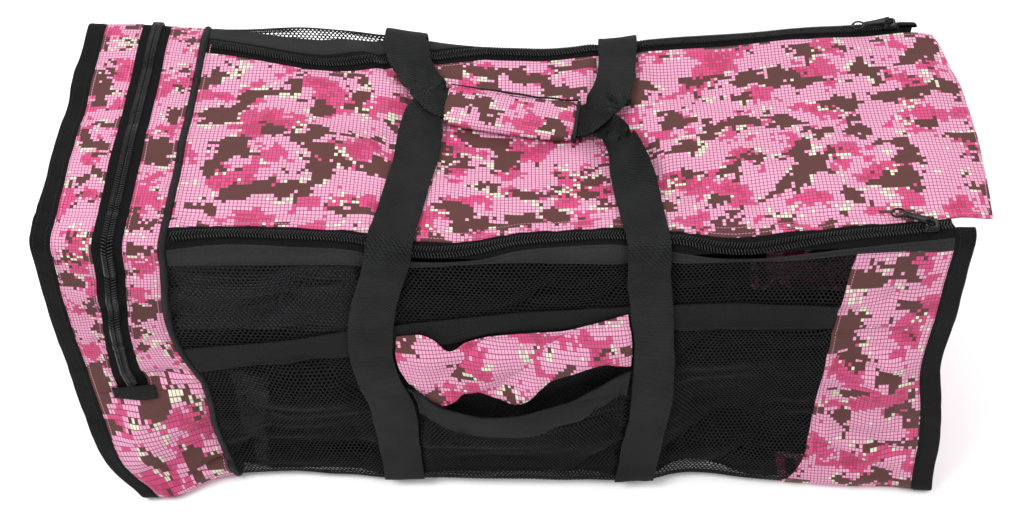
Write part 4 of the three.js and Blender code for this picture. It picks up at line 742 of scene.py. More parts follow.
# The piping: a cord in a black bias strip, sewn into the seam that joins the end pocket's gusset to the
# main compartment, all round the bag.
piping_cloth = black_cloth("piping_cloth", (0.0066, 0.0060, 0.0068), 0.5, 0.0008, 0.6, 0.16)
turn = np.linspace(-0.15, math.pi + 0.15, 11)
v = np.arange(0, girth + 0.003, 0.003)
thick = 0.0034 * (1 + 0.06 * soft_field(v / 0.02, v * 0, 51))[:, None]
spots, _ = skin(piping_at + np.cos(turn)[None, :] * thick, v[:, None], np.sin(turn)[None, :] * thick - 0.0006)
weave = np.stack(np.broadcast_arrays(turn[None, :] * 0.004, v[:, None]), -1)
make_piece("piping_cord", spots, [grid_faces(len(v), len(turn))], piping_cloth, "black_cloth",
           ("piping",), weave)

# The zippers: number 10 nylon coils, two rows of slanted teeth on a ribbed woven tape. Two close the
# lid's long edges and one runs over the end pocket.
tooth_pitch = 0.0030
coil_nylon, tree, shader = new_material("coil_nylon", (0.006, 0.006, 0.007), 0.28)
shader.inputs["Specular IOR Level"].default_value = 0.42
shine = noise_of(tree, add_node(tree, "ShaderNodeTexCoord").outputs["Object"], 90, 3.0, 0.6)
tree.links.new(mixed(tree, shine, (0.004, 0.004, 0.005), (0.013, 0.013, 0.014)), shader.inputs["Base Color"])
tree.links.new(reckon(tree, "MULTIPLY_ADD", shine, 0.35, 0.14), shader.inputs["Roughness"])
zip_tape = black_cloth("zip_tape", (0.0034, 0.0034, 0.0038), 0.66, 0.0008, 0.4, 0.06)


def tooth_shape():
    """One tooth: a short rounded bar, low at its outer end, high and thick at the middle of the chain."""
    rows = ((0.0001, 0.0005, 0.0010), (0.0008, 0.0007, 0.0026), (0.0030, 0.0006, 0.0024),
            (0.0052, 0.0007, 0.0023), (0.0060, 0.0004, 0.0006))
    points = []
    for across, wide, top in rows:
        lean = across * 0.36
        points += [(lean - wide, across, 0.0004), (lean - wide * 0.6, across, top), (lean, across, top * 1.1),
                   (lean + wide * 0.6, across, top), (lean + wide, across, 0.0004)]
    return np.array(points), grid_faces(5, 5)


def coil_chain(name, u, v, slot, replaced):
    """Two rows of teeth along a line on the form."""
    dense, _ = skin(u, v)
    run = np.concatenate([[0], np.cumsum(np.linalg.norm(np.diff(dense, axis=0), axis=1))])
    spots, quads = tooth_shape()
    points, faces = [], []
    for side in (1, -1):
        marks = np.arange(tooth_pitch * (0.5 if side > 0 else 1.0), run[-1], tooth_pitch)
        at_u, at_v = np.interp(marks, run, u), np.interp(marks, run, v)
        foot, out = skin(at_u, at_v, layer)
        ahead, _ = skin(np.interp(marks + 0.002, run, u), np.interp(marks + 0.002, run, v), layer)
        along = ahead - foot
        along[-1] = along[-2]
        along /= np.linalg.norm(along, axis=1, keepdims=True)
        across = np.cross(out, along)
        for k in range(len(marks)):
            faces.append(quads + len(points) * 25)
            points.append(foot[k] + spots[:, :1] * along[k] + spots[:, 1:2] * across[k] * side
                          + spots[:, 2:] * out[k])
    return make_piece(name, np.concatenate(points), [np.concatenate(faces)], coil_nylon, slot, replaced,
                      np.zeros((len(points) * 25, 2)))


main_from, main_to = piping_at + 0.0038, root
long_u = np.linspace(main_from + 0.002, main_to - 0.002, 500)
coil_chain("front_coil", long_u, lid_edge(long_u) - chain_off, "zipper", ("front_zip_coil",))
coil_chain("rear_coil", long_u, behind_lid(chain_off)(long_u), "zipper", ("rear_zip_coil",))
end_v = np.linspace(end_zip_low + 0.006, end_zip_high - 0.006, 700)
coil_chain("end_coil", end_zip(end_v), end_v, "zipper", ("end_zip_coil",))
cloth_panel("front_tape", main_from, main_to, front_edge - 0.004, lid_edge, zip_tape, "zipper",
            ("front_zip_tape",), lift=-0.0004, spacing=0.003, thick=0.0006, hem=0.002)
cloth_panel("rear_tape", main_from, main_to, behind_lid(0), behind_lid(tape_shown), zip_tape, "zipper",
            ("rear_zip_tape",), lift=-0.0004, spacing=0.003, thick=0.0006, hem=0.002)
cloth_panel("end_tape", lambda v: end_zip(v) - half_tape, lambda v: end_zip(v) + half_tape, end_zip_low,
            end_zip_high, zip_tape, "zipper", ("end_zip_tape",), lift=-0.0006, spacing=0.003, thick=0.0006,
            hem=0.002)
tab_cloth = black_cloth("tab_cloth", (0.0066, 0.0066, 0.0070), 0.6, 0.0010, 0.6, 0.10)
for side, v_end, way in (("front", end_zip_low, 1), ("rear", end_zip_high, -1)):
    low, high = sorted((v_end - way * 0.0075, v_end + way * 0.0075))
    middle = float(end_zip(v_end))
    cloth_panel(f"end_tab_{side}", middle - 0.0205, middle + 0.0205, low, high, tab_cloth, "black_cloth",
                (f"end_zip_tab_{side}",), lift=lambda u, v: 0.0030 + 0.0012 * np.cos((u - middle) / 0.013),
                spacing=0.002, thick=0.0024, hem=0.003)

# The zipper bands: strips of black woven tape, one below each long zipper. The zipper is sewn to its upper
# edge and the net to its lower one.
band_web = black_cloth("band_web", (0.0105, 0.0104, 0.0106), 0.58, 0.0011, 0.8, 0.14)
cloth_panel("front_zip_strip", main_from, main_to, band_low, lambda u: lid_edge(u) - tape_shown, band_web,
            "black_cloth", ("front_zip_band",), spacing=0.003)
cloth_panel("rear_zip_strip", main_from, main_to, behind_lid(tape_shown), rear_band_low, band_web,
            "black_cloth", ("rear_zip_band",), spacing=0.003)

# The lid: a large camouflage panel, turned and stitched round its edge and held between the two long
# zippers. Its right end is free, bows out and hangs past the flange.
lid_camo = camouflage("lid_camouflage", 4)
lid_end = table(("run", "past"), (
    (front_edge, 0.0185), (front_edge + 0.024, 0.0200), (front_edge + 0.06, 0.0250),
    (front_edge + 0.10, 0.0290),
    (front_edge + 0.16, 0.0312), (front_edge + 0.22, 0.0285), (rear_edge - 0.045, 0.0205),
    (rear_edge - 0.02, 0.0135), (rear_edge, 0.010)))


def lid_to(v):
    return half_length + smooth(lid_end, "past", v, "run")


lid = cloth_panel("lid_cloth", main_from, lid_to, lid_edge, behind_lid(0), lid_camo, "camouflage", ("lid",),
            lift=lambda u, v: 0.0004 - 0.0045 * ease(u, root + 0.012, half_length + 0.03),
            spacing=0.0026, thick=0.0022, hem=0.010)
lid_line = np.linspace(main_from, half_length + 0.02, 400)
lid_wide = behind_lid(0)(lid_line) - lid_edge(lid_line) + 0.02

# The middle bands: webbing sewn along both nets, under the handles. The front one climbs where the
# pocket's flap hangs from it.
sewn_band = table(("at", "place"), ((-0.74, 1.59), (-0.49, 1.633), (-0.315, 1.682), (0.0, 1.750),
                                    (0.36, 1.766), (0.55, 1.760), (0.76, 1.752)))


def along_band(distance):
    """A line that far from the middle of the front band."""
    return lambda u: run_of(smooth(sewn_band, "place", u / half_length)) + distance


def band_to(v):
    """Each band ends at the seam of its wall's side panel."""
    return np.where(v < rear_edge, seam_front(v), seam_rear(v)) - 0.0015


half_band = 0.0185
sewn_web = black_cloth("sewn_web", (0.0052, 0.0052, 0.0054), 0.58, 0.0011, 0.8, 0.08)
rear_middle = float(run_of(rear_band_place))
for side, low, high in (("front", along_band(-half_band), along_band(half_band)),
                        ("rear", rear_middle - half_band, rear_middle + half_band)):
    cloth_panel(side + "_middle_web", piping_at + 0.0045, band_to, low, high, sewn_web, "webbing",
                (side + "_mid_band",), lift=band_lift + band_thickness, spacing=0.003, thick=0.0013, hem=0.003)

# The centre pocket: a slack camouflage flap hangs from the middle band between the front straps, over a
# net pocket whose bound mouth sags open.
def beside_web(run, way):
    return lambda v: half_length * smooth(web_runs[run], "at", np.interp(v, edges, range(6)), "place") \
        + way * (web_width / 2 + 0.0025)


pocket_left, pocket_right = beside_web(0, 1), beside_web(1, -1)
pocket_middle = float(pocket_left(run_of(1.4)) + pocket_right(run_of(1.4))) / 2
pocket_half = float(pocket_right(run_of(1.4)) - pocket_left(run_of(1.4))) / 2
flap_names = ("at", "low", "top")
flap_rows = (
    (-0.270, 1.640, 1.702), (-0.250, 1.560, 1.708), (-0.232, 1.490, 1.712), (-0.205, 1.440, 1.716),
    (-0.180, 1.430, 1.700), (-0.148, 1.462, 1.655), (-0.110, 1.498, 1.690), (-0.058, 1.470, 1.716),
    (0.000, 1.455, 1.728), (0.035, 1.490, 1.732), (0.070, 1.545, 1.734), (0.110, 1.580, 1.738),
    (0.186, 1.622, 1.762), (0.230, 1.600, 1.780), (0.270, 1.588, 1.792))
flap_edges = table(flap_names, flap_rows)
flap_lift = over_bands * web_thickness + 0.002


def bell(u):
    """From 0 at the straps to 1 midway between them."""
    return np.maximum(0, 1 - ((u - pocket_middle) / pocket_half) ** 2)


def flap_line(column):
    return lambda u: run_of(smooth(flap_edges, column, u / half_length))


def flap_wave(u, v):
    """How far the flap stands off the wall: more towards its free edge, in slanting waves."""
    hang = ease(flap_line("top")(u) - v, 0, 0.08)
    return flap_lift + bell(u) ** 0.5 * (0.0015 + hang * (0.0040 + 0.0042 * creases(u, v, 66, 0.14, 0.034, 61)
                                                          + 0.0018 * creases(u, v, 52, 0.07, 0.014, 62)))


flap_camo = camouflage("flap_camouflage", 5, dot * 0.84, 0.61)
flap = cloth_panel("flap_cloth", pocket_left, pocket_right,
                   flap_line("low"), flap_line("top"), flap_camo, "camouflage", ("pocket_flap",),
                   lift=flap_wave, spacing=0.0022, thick=0.0016,
                   cut_from=lambda u, v: (u + 0.08 * v + 0.2, 0.62 * v + 0.4))
flap_u = np.linspace(float(pocket_left(run_of(1.6))), float(pocket_right(run_of(1.6))), 200)
drop = flap_line("top")(flap_u) - flap_line("low")(flap_u) + 0.014
pocket_foot = front_foot + 0.0176
pocket_lift_full = over_bands * web_thickness * 2 + 0.002
mouth = table(("at", "place"), ((-0.27, 1.545), (-0.232, 1.502), (-0.158, 1.432), (-0.071, 1.410),
                                (0.025, 1.435), (0.143, 1.500), (0.243, 1.572), (0.28, 1.585)))


def pocket_mouth(distance=0.0):
    return lambda u: run_of(smooth(mouth, "place", u / half_length)) - distance


def pocket_lift(u, v):
    out = ease(v, pocket_foot, pocket_mouth()(u))
    return band_lift + 0.002 + (pocket_lift_full + 0.010 * bell(u)) * out


net_wall("pocket_net_wall", pocket_left, pocket_right, pocket_foot, pocket_mouth(0.040), net_thread, "net",
         ("pocket_net",), lift=pocket_lift)
cloth_panel("pocket_edge_tape", pocket_left, pocket_right, pocket_mouth(0.045), pocket_mouth(), tab_cloth,
            "black_cloth", ("pocket_binding",), lift=lambda u, v: pocket_lift(u, v) + 0.0004
            + 0.0008 * soft_field(u / 0.02, v / 0.05, 63), spacing=0.0024, thick=0.0026, hem=0.014)

# The handles: two lengths of 45 mm ribbed webbing, each up one wall, over the lid, through the grip and
# down again, sewn on along both edges.
web_cloth, tree, shader = new_material("web_cloth", (0.010, 0.0105, 0.0105), 0.56)
shader.inputs["Specular IOR Level"].default_value = 0.10
place = add_node(tree, "ShaderNodeUVMap", uv_map="weave").outputs[0]
apart = add_node(tree, "ShaderNodeSeparateXYZ", {0: place})
ribs = reckon(tree, "SINE", reckon(tree, "MULTIPLY", apart.outputs[1], 2 * math.pi / 0.0021))
twill = reckon(tree, "SINE", reckon(tree, "MULTIPLY", reckon(tree, "ADD", apart.outputs[0],
                                                             reckon(tree, "MULTIPLY", apart.outputs[1], 1.4)),
                                    2 * math.pi / 0.0052))
ground = add_node(tree, "ShaderNodeTexCoord").outputs["Object"]
# Wear and painted light and shade: two noise fields lighten and darken the webbing's colour in patches. The
# broader one stands in for lit areas and for the shade near the folds.
wear_and_painted_light = reckon(tree, "MULTIPLY_ADD", noise_of(tree, ground, 16, 3.0, 0.6), 1.5,
              reckon(tree, "MULTIPLY_ADD", noise_of(tree, ground, 70, 4.0, 0.65), 0.8, -0.65))
shade = reckon(tree, "MULTIPLY_ADD", twill, 0.30, wear_and_painted_light)
web_colour = mixed(tree, shade, (0.0030, 0.0032, 0.0032), (0.0160, 0.0165, 0.0165))
tree.links.new(web_colour, shader.inputs["Base Color"])
bumped(tree, shader, reckon(tree, "MULTIPLY_ADD", twill, 0.5, ribs), 0.00055)
web_profile = ((-1.0, 0.5), (-0.985, 0.85), (-0.95, 1.0), (-0.6, 1.0), (-0.2, 1.0), (0.2, 1.0), (0.6, 1.0),
               (0.95, 1.0), (0.985, 0.85), (1.0, 0.5), (0.985, 0.15), (0.95, 0.0), (0.3, 0.0), (-0.3, 0.0),
               (-0.95, 0.0), (-0.985, 0.15))


def web_path(rows, spacing=0.004):
    path = table(web_names, rows)
    u, v = path["at"] * half_length, run_of(path["place"])
    path["run"] = np.concatenate([[0], np.cumsum(np.hypot(np.diff(u), np.diff(v)))])
    marks = np.linspace(0, path["run"][-1], round(path["run"][-1] / spacing))
    found = {name: smooth(path, name, marks, "run") for name in web_names}
    found["v"] = smooth({"run": path["run"], "v": v}, "v", marks, "run")
    found["run"] = marks
    return found


def curled(side, curl):
    """Across and up for a strip bent to an arc with its edges up; curl is the arc's half angle."""
    bent = np.maximum(curl, 0.02)
    return np.sin(bent * side) / bent * web_width / 2, (1 - np.cos(bent * side)) / bent * web_width / 2


def handle(name, rows, replaced, seed, curl_rows):
    """One length of webbing along its path, pressed flat but for the places where it curls."""
    path = web_path(rows)
    side, tall = (np.array(values)[None, :] for values in zip(*web_profile))
    heading, roll = (np.radians(path[key])[:, None] for key in ("heading", "roll"))
    curl = np.interp(path["at"], *zip(*curl_rows))[:, None] * (np.abs(path["v"][:, None] - run_of(2.6)) < 0.13)
    across, up = curled(side, curl)
    reach = across * np.cos(roll)
    u = path["at"][:, None] * half_length + reach * np.cos(heading)
    v = path["v"][:, None] - reach * np.sin(heading)
    slack = 0.0008 * (1 + soft_field(path["run"][:, None] / 0.05, side * 1.3, seed))
    rise = path["lift"][:, None] * web_thickness + across * np.sin(roll) + tall * web_thickness + up
    spots, _ = skin(u, v, rise + slack)
    weave = np.stack(np.broadcast_arrays(side * web_width / 2, path["run"][:, None]), -1)
    return make_piece(name, spots, [grid_faces(len(path["run"]), len(web_profile), True)[:, ::-1]], web_cloth,
                      "webbing", replaced, weave)


handle("front_handle_web", front_web_rows, ("front_handle",), 71,
       ((-0.21, 0), (-0.185, 0.5), (-0.16, 0), (0.17, 0), (0.205, 0.8), (0.245, 1.35), (0.264, 1.1),
        (0.280, 0.5), (0.291, 0)))
handle("rear_handle_web", rear_web_rows, ("rear_handle",), 72,
       ((-0.22, 0), (-0.19, 0.4), (-0.16, 0), (0.17, 0), (0.21, 0.4), (0.24, 0)))

# The grip: a padded camouflage sleeve wrapped round both handles. It closes along a dark bound edge at its
# rear, and a thick black edge finishes its right end.
grip_left, grip_right, grip_heading = (-0.152, 2.675), (0.167, 2.605), math.radians(98)
grip_low, grip_high = grip_floor * web_thickness - grip_slack, (grip_roof + 1) * web_thickness + grip_slack
grip_half = web_width / 2 + grip_slack + grip_wall + 0.0025


def grip_spot(t, side, rise):
    """A point of the sleeve: t runs along it, side is across it in metres, rise over the cloth."""
    u = (grip_left[0] + (grip_right[0] - grip_left[0]) * t) * half_length + side * math.cos(grip_heading)
    place = grip_left[1] + (grip_right[1] - grip_left[1]) * t
    return skin(u, run_of(place) - side * math.sin(grip_heading), rise)


def sleeve_spots(t, swell, grow=0.0):
    """Rings of points round both straps, flat above and below, for shares t of the sleeve's length."""
    turns = np.linspace(-0.5 * math.pi, 1.5 * math.pi, 45)[:-1]
    side = np.sign(np.cos(turns)) * np.abs(np.cos(turns)) ** 0.42 * (grip_half + grow)
    tall = np.sign(np.sin(turns)) * np.abs(np.sin(turns)) ** 0.62
    middle, deep = (grip_high + grip_low) / 2, (grip_high - grip_low) / 2 + grip_wall + grow
    rise = middle + tall[None, :] * deep * swell[:, None]
    swollen = side[None, :] * (1 + 0.5 * (swell[:, None] - 1))
    spots, _ = grip_spot(t[:, None], swollen, np.maximum(rise, 0.0006))
    return spots


t = np.linspace(0.005, 0.975, 50)
end_round = np.minimum(1, np.sqrt(np.clip(np.minimum(t + 0.005, 0.985 - t) / 0.05, 0.3, 1)))
start = sleeve_spots(t, end_round)
rings, ring = start.shape[:2]
order = np.arange(rings * ring).reshape(rings, ring)
grip_faces = [grid_faces(rings, ring, True)[:, ::-1], order[0][None, :], order[-1][::-1][None, :]]
grip_middle = start.mean((0, 1))
grip_along = start[-1].mean(0) - start[0].mean(0)
grip_along /= np.linalg.norm(grip_along)
grip_up = grip_spot(np.array([0.5]), np.array([0.0]), 0.0)[1][0]
grip_across = np.cross(grip_up, grip_along)
grip_across /= np.linalg.norm(grip_across)
grip_up = np.cross(grip_along, grip_across)
grip_axes = np.array([grip_along, grip_across, grip_up])


def stuffed(spots, faces, size=0.0035, pressure=4.0, reach=0.005):
    """The same shape as padded cloth: filled by pressure for twenty frames, each point kept near its start."""
    mesh = bpy.data.meshes.new("padding")
    mesh.from_pydata(spots.tolist(), [], [face.tolist() for group in faces for face in group])
    soft = bpy.data.objects.new("padding", mesh)
    scene.collection.objects.link(soft)
    remesh = soft.modifiers.new("remesh", "REMESH")
    remesh.mode, remesh.voxel_size = "VOXEL", size
    view = bpy.context.evaluated_depsgraph_get()
    fine = bpy.data.meshes.new_from_object(soft.evaluated_get(view))
    soft.modifiers.clear()
    soft.data = fine
    before = np.array([point.co[:] for point in fine.vertices])
    along = (before - grip_middle) @ grip_along
    ends = soft.vertex_groups.new(name="sewn_ends")
    held = np.flatnonzero((along < along.min() + 0.006) | (along > along.max() - 0.006))
    ends.add(held.tolist(), 1.0, "REPLACE")
    cloth = soft.modifiers.new("cloth", "CLOTH").settings
    cloth.quality, cloth.mass = 6, 0.15
    cloth.tension_stiffness = cloth.compression_stiffness = 12
    cloth.bending_stiffness = 0.4
    cloth.use_pressure, cloth.uniform_pressure_force = True, pressure
    cloth.vertex_group_mass = "sewn_ends"
    cloth.effector_weights.gravity = 0
    for frame_number in range(1, 21):
        scene.frame_set(frame_number)
    view = bpy.context.evaluated_depsgraph_get()
    after = np.array([point.co[:] for point in soft.evaluated_get(view).data.vertices])
    scene.frame_set(1)
    soft.modifiers.clear()
    moved = after - before
    far = np.linalg.norm(moved, axis=1, keepdims=True)
    done = before + moved * np.minimum(1, reach / np.maximum(far, 1e-9))
    quads = [tuple(face.vertices) for face in fine.polygons]
    bpy.data.objects.remove(soft)
    return done, quads


shrunk = grip_middle + ((start - grip_middle) @ grip_axes.T * (1, 0.985, 0.94)) @ grip_axes
start, quads = stuffed(shrunk.reshape(-1, 3), grip_faces)
grip_faces = [np.array([face for face in quads if len(face) == size]) for size in (3, 4)]
grip_faces = [group for group in grip_faces if len(group)]
grip_camo = camouflage("grip_camouflage", 6, dot * 0.92)
grip = make_piece("grip_sleeve", start, grip_faces, grip_camo, "camouflage", ("grip",))
local = (start.reshape(-1, 3) - grip_middle) @ grip_axes.T
flat_half, shoulder = grip_half * 0.88, 0.006
edge_side = np.sign(local[:, 1])
around = np.where(np.abs(local[:, 1]) > flat_half, edge_side * (flat_half + shoulder - local[:, 2]), local[:, 1])
weave = np.stack([local[:, 0] + 0.3, around + 0.2], -1)
corner_of = np.empty(len(grip.data.loops), int)
grip.data.loops.foreach_get("vertex_index", corner_of)
grip.data.uv_layers.new(name="weave").data.foreach_set("uv", weave[corner_of].ravel())
finer = grip.modifiers.new("finer", "SUBSURF")
finer.levels = finer.render_levels = 1
t = np.linspace(0.962, 0.984, 7)
spots = sleeve_spots(t, np.full(7, 0.98), 0.0002)
make_piece("grip_end_edge", spots, [grid_faces(7, ring, True)[:, ::-1]], tab_cloth, "black_cloth", (),
           np.zeros((7 * ring, 2)))
t = np.linspace(0.03, 0.968, 40)
lines = np.array(((-0.90, 0.0012), (-0.90, 0.0030), (-0.955, 0.0026), (-0.985, 0.0012)))
wave = 0.0010 * soft_field(t / 0.11, 0 * t, 81)[:, None]
rise = grip_high + grip_wall * 0.4 + lines[None, :, 1] - 0.0012
spots, _ = grip_spot(t[:, None], lines[None, :, 0] * grip_half - wave, rise + 0 * t[:, None])
make_piece("grip_closing_edge", spots, [grid_faces(40, 4)[:, ::-1]], tab_cloth, "black_cloth", (),
           np.zeros((160, 2)))

# The sliders: cast metal in glossy black paint, a little worn at the edges, each with a flat pull that
# ends in a ring. The pull's end bar turns in the slider's crown.
slider_paint, tree, shader = new_material("slider_paint", (0.012, 0.012, 0.013), 0.22)
shader.inputs["Specular IOR Level"].default_value = 0.16
shader.inputs["Coat Weight"].default_value = 0.05
shader.inputs["Coat Roughness"].default_value = 0.12
wear_map = add_node(tree, "ShaderNodeNewGeometry").outputs["Pointiness"]
grain = noise_of(tree, add_node(tree, "ShaderNodeTexCoord").outputs["Object"], 700, 3.0, 0.7)
rubbed = add_node(tree, "ShaderNodeMapRange", {"Value": reckon(tree, "MULTIPLY_ADD", grain, 0.10, wear_map),
                                               "From Min": 0.62, "From Max": 0.74}).outputs[0]
tree.links.new(mixed(tree, rubbed, (0.004, 0.004, 0.0045), (0.05, 0.05, 0.052)), shader.inputs["Base Color"])
tree.links.new(reckon(tree, "MULTIPLY_ADD", grain, 0.22, 0.10), shader.inputs["Roughness"])
bumped(tree, shader, grain, 0.00012)
plate_top, pin_height, slider_length, slider_width = 0.0066, 0.0031, 0.015, 0.016


def layered(outline_points, layers):
    """A solid from one outline, drawn in by each layer's inset at its height."""
    shape = np.asarray(outline_points, float)
    centre = shape.mean(0)
    points = []
    for tall, inset in layers:
        way = shape - centre
        size = np.linalg.norm(way, axis=1, keepdims=True)
        points.append(np.column_stack([shape - way / size * inset, np.full(len(shape), tall)]))
    rings, count = len(layers), len(shape)
    index = np.arange(rings * count).reshape(rings, count)
    sides = np.stack([index[:-1], np.roll(index[:-1], -1, 1), np.roll(index[1:], -1, 1), index[1:]], -1)
    return np.concatenate(points), [sides.reshape(-1, 4), index[-1][None, :], index[0][::-1][None, :]]


def rod(path, radius, sides=10):
    """A round bar along a path of points, closed at its ends by small caps."""
    path = np.asarray(path, float)
    ways = np.gradient(path, axis=0)
    ways /= np.linalg.norm(ways, axis=1, keepdims=True)
    aside = np.cross(ways, (0.31, 0.85, 0.42))
    aside /= np.linalg.norm(aside, axis=1, keepdims=True)
    other = np.cross(ways, aside)
    turn = np.linspace(0, 2 * math.pi, sides, endpoint=False)
    ring = aside[:, None] * np.cos(turn)[None, :, None] + other[:, None] * np.sin(turn)[None, :, None]
    points = (path[:, None] + ring * np.broadcast_to(radius, len(path))[:, None, None]).reshape(-1, 3)
    index = np.arange(len(points)).reshape(len(path), sides)
    return points, [grid_faces(len(path), sides, True)[:, ::-1], index[0][None, :], index[-1][::-1][None, :]]


def joined(shapes):
    """Several shapes as one."""
    points, faces, count = [], [], 0
    for spots, groups in shapes:
        points.append(spots)
        faces += [np.asarray(group) + count for group in groups]
        count += len(spots)
    return np.concatenate(points), faces


def placed(shape, origin, x, y, z):
    """A shape moved to an origin, with its own directions along x, y and z."""
    spots, faces = shape
    return origin + spots @ np.array([x, y, z]), faces


def slider_shape():
    """The slider's top plate, narrower behind, on two rails that hold the chain."""
    t = np.linspace(0, 2 * math.pi, 48, endpoint=False)
    long, wide = slider_length / 2, slider_width / 2
    square = np.stack([np.sign(np.cos(t)) * np.abs(np.cos(t)) ** 0.5 * long,
                       np.sign(np.sin(t)) * np.abs(np.sin(t)) ** 0.55 * wide], -1)
    waist = 1 - 0.16 * ease(-square[:, 0], -long * 0.2, long)
    square[:, 1] *= waist
    top = layered(square, ((0.0044, 0.0006), (0.0048, 0.0), (0.0060, 0.0), (0.0066, 0.0008), (0.0068, 0.0020)))
    shapes = [top]
    for way in (-1, 1):
        rail = np.array([(-long * 0.9, 0), (-long, 0.0008), (-long * 0.9, 0.0017), (long * 0.85, 0.0021),
                         (long, 0.001), (long * 0.85, 0)]) * (1, way)
        rail[:, 1] += way * (wide - 0.0028)
        rail = rail if way > 0 else rail[::-1]
        shapes.append(layered(rail, ((0.0006, 0.0002), (0.0009, 0.0), (0.0050, 0.0))))
    return joined(shapes)


def crown_shape():
    """The arch that holds the pull's end bar."""
    reach, top = 0.0036, plate_top + pin_height + 0.0019
    t = np.linspace(0, math.pi, 19)
    path = np.stack([np.cos(t) * reach, t * 0, plate_top - 0.0006 + np.sin(t) ** 0.7 * (top - plate_top)], -1)
    return rod(path, 0.00105 + 0.0002 * np.abs(np.cos(t)))


def pull_shape(length=0.042, wide=0.0088, ring=0.0074):
    """A flat bar from the end bar at its root to a round ring at its tip."""
    eye = 0.0052
    t = np.linspace(0, 2 * math.pi, 40)
    shapes = [rod([(0, -wide / 2, 0), (0, 0, 0), (0, wide / 2, 0)], 0.0008)]
    for way in (-1, 1):
        shapes.append(rod([(0, way * wide / 2, 0), (eye * 0.5, way * wide / 2, 0), (eye, way * wide * 0.46, 0),
                           (eye + 0.002, way * wide * 0.3, 0)], 0.00085))
    neck = length - ring * 2
    half = np.array([(eye, wide * 0.46), (eye + 0.002, wide * 0.5), (neck * 0.6, wide * 0.42),
                     (neck, wide * 0.40), (neck + 0.0015, wide * 0.34)])
    bar = np.concatenate([half, half[::-1] * (1, -1)])
    shapes.append(layered(bar[::-1], ((-0.0008, 0.0004), (-0.0005, 0.0), (0.0005, 0.0), (0.0008, 0.0004))))
    centre = length - ring
    loop = np.stack([centre + np.cos(t) * (ring - 0.0011), np.sin(t) * (ring - 0.0011), t * 0], -1)
    shapes.append(rod(loop, 0.0011, 12))
    return joined(shapes)


zip_sliders = (
    ("front", 0.905, front_edge + 0.012, (-0.7898, 0.5574, -0.256), (0.40329, -0.14006, 0.41332)),
    ("rear", 0.93, rear_edge - 0.012, (-0.9825, -0.0632, -0.1754), (0.41516, 0.17301, 0.40666)),
)
for side, at, v, lie, pin in zip_sliders:
    u = at * half_length
    (behind, here, ahead), (_, out, _) = skin(np.array([u - 0.0075, u, u + 0.0075]), v)
    chain = (ahead - behind) / np.linalg.norm(ahead - behind)
    up = out + np.array([0, 0, 0.5])
    up -= chain * (up @ chain)
    up /= np.linalg.norm(up)
    pin, lie = np.array(pin), np.array(lie) / np.linalg.norm(lie)
    foot = pin - up * (plate_top + pin_height)
    hinge = np.cross(up, lie)
    hinge /= np.linalg.norm(hinge)
    body = joined([placed(slider_shape(), foot, chain, np.cross(up, chain), up),
                   placed(crown_shape(), foot, np.cross(hinge, up), hinge, up)])
    make_piece(f"{side}_zip_slider", *body, slider_paint, "slider", (f"{side}_slider",),
               np.zeros((len(body[0]), 2)))
    tab = placed(pull_shape(), pin, lie, hinge, np.cross(lie, hinge))
    make_piece(f"{side}_zip_pull", *tab, slider_paint, "slider", (f"{side}_pull",),
               np.zeros((len(tab[0]), 2)), f"{side}_pull")
end_slider_v = end_zip_high - 0.030
two_places = np.array([end_slider_v, end_slider_v + 0.01])
near, _ = skin(end_zip(two_places), two_places)
foot, up = skin(end_zip(end_slider_v), end_slider_v)
chain = near[1] - near[0]
chain -= up * (chain @ up)
chain /= np.linalg.norm(chain)
tab = placed(pull_shape(), np.array((0.004, 0, 0.0078)), (1, 0, 0), (0, 1, 0), (0, 0, 1))
body = placed(joined([slider_shape(), tab]), foot, chain, np.cross(up, chain), up)
make_piece("end_slider_and_pull", *body, slider_paint, "slider", ("end_zip_slider",),
           np.zeros((len(body[0]), 2)))

# The stitching: bonded thread, black on black cloth and pink on the camouflage, in short raised stitches
# along every sewn edge.
thread_black = black_cloth("thread_black", (0.0060, 0.0060, 0.0064), 0.5, 0.0004, 0.6, 0.14)
thread_pink = black_cloth("thread_pink", (0.40, 0.16, 0.24), 0.5, 0.0004, 0.5, 0.2)
stitch_spots = np.array([(-0.5, 0, 0.0), (-0.30, -1, 0.55), (-0.30, 1, 0.55), (0, 0, 1.5), (0.30, -1, 0.55),
                         (0.30, 1, 0.55), (0.5, 0, 0.0)])
stitch_faces = np.array([(0, 1, 3), (0, 3, 2), (1, 4, 3), (3, 5, 2), (4, 6, 3), (3, 6, 5)])


def stitch_rows(name, lines, thread, pitch=0.0034, length=0.0026, thick=0.00042):
    """Rows of stitches; each line is along, around and rise, as arrays or numbers of one length."""
    points, faces, count = [], [], 0
    for u, v, rise in lines:
        u, v, rise = np.broadcast_arrays(np.asarray(u, float), np.asarray(v, float), rise)
        dense, _ = skin(u, v)
        run = np.concatenate([[0], np.cumsum(np.linalg.norm(np.diff(dense, axis=0), axis=1))])
        marks = np.arange(pitch / 2, run[-1] - pitch / 2, pitch)
        at_u, at_v, over = (np.interp(marks, run, values) for values in (u, v, rise))
        foot, out = skin(at_u, at_v, over)
        ahead, _ = skin(np.interp(marks + 0.001, run, u), np.interp(marks + 0.001, run, v), over)
        along = ahead - foot
        along /= np.linalg.norm(along, axis=1, keepdims=True)
        across = np.cross(out, along)
        spots = (foot[:, None] + along[:, None] * stitch_spots[None, :, :1] * length
                 + across[:, None] * stitch_spots[None, :, 1:2] * thick
                 + out[:, None] * stitch_spots[None, :, 2:] * thick)
        points.append(spots.reshape(-1, 3))
        starts = (count + np.arange(len(marks)) * 7)[:, None, None]
        faces.append((stitch_faces[None] + starts).reshape(-1, 3))
        count += len(marks) * 7
    points = np.concatenate(points)
    return make_piece(name, points, [np.concatenate(faces)], thread, "black_cloth", (),
                      np.zeros((len(points), 2)))


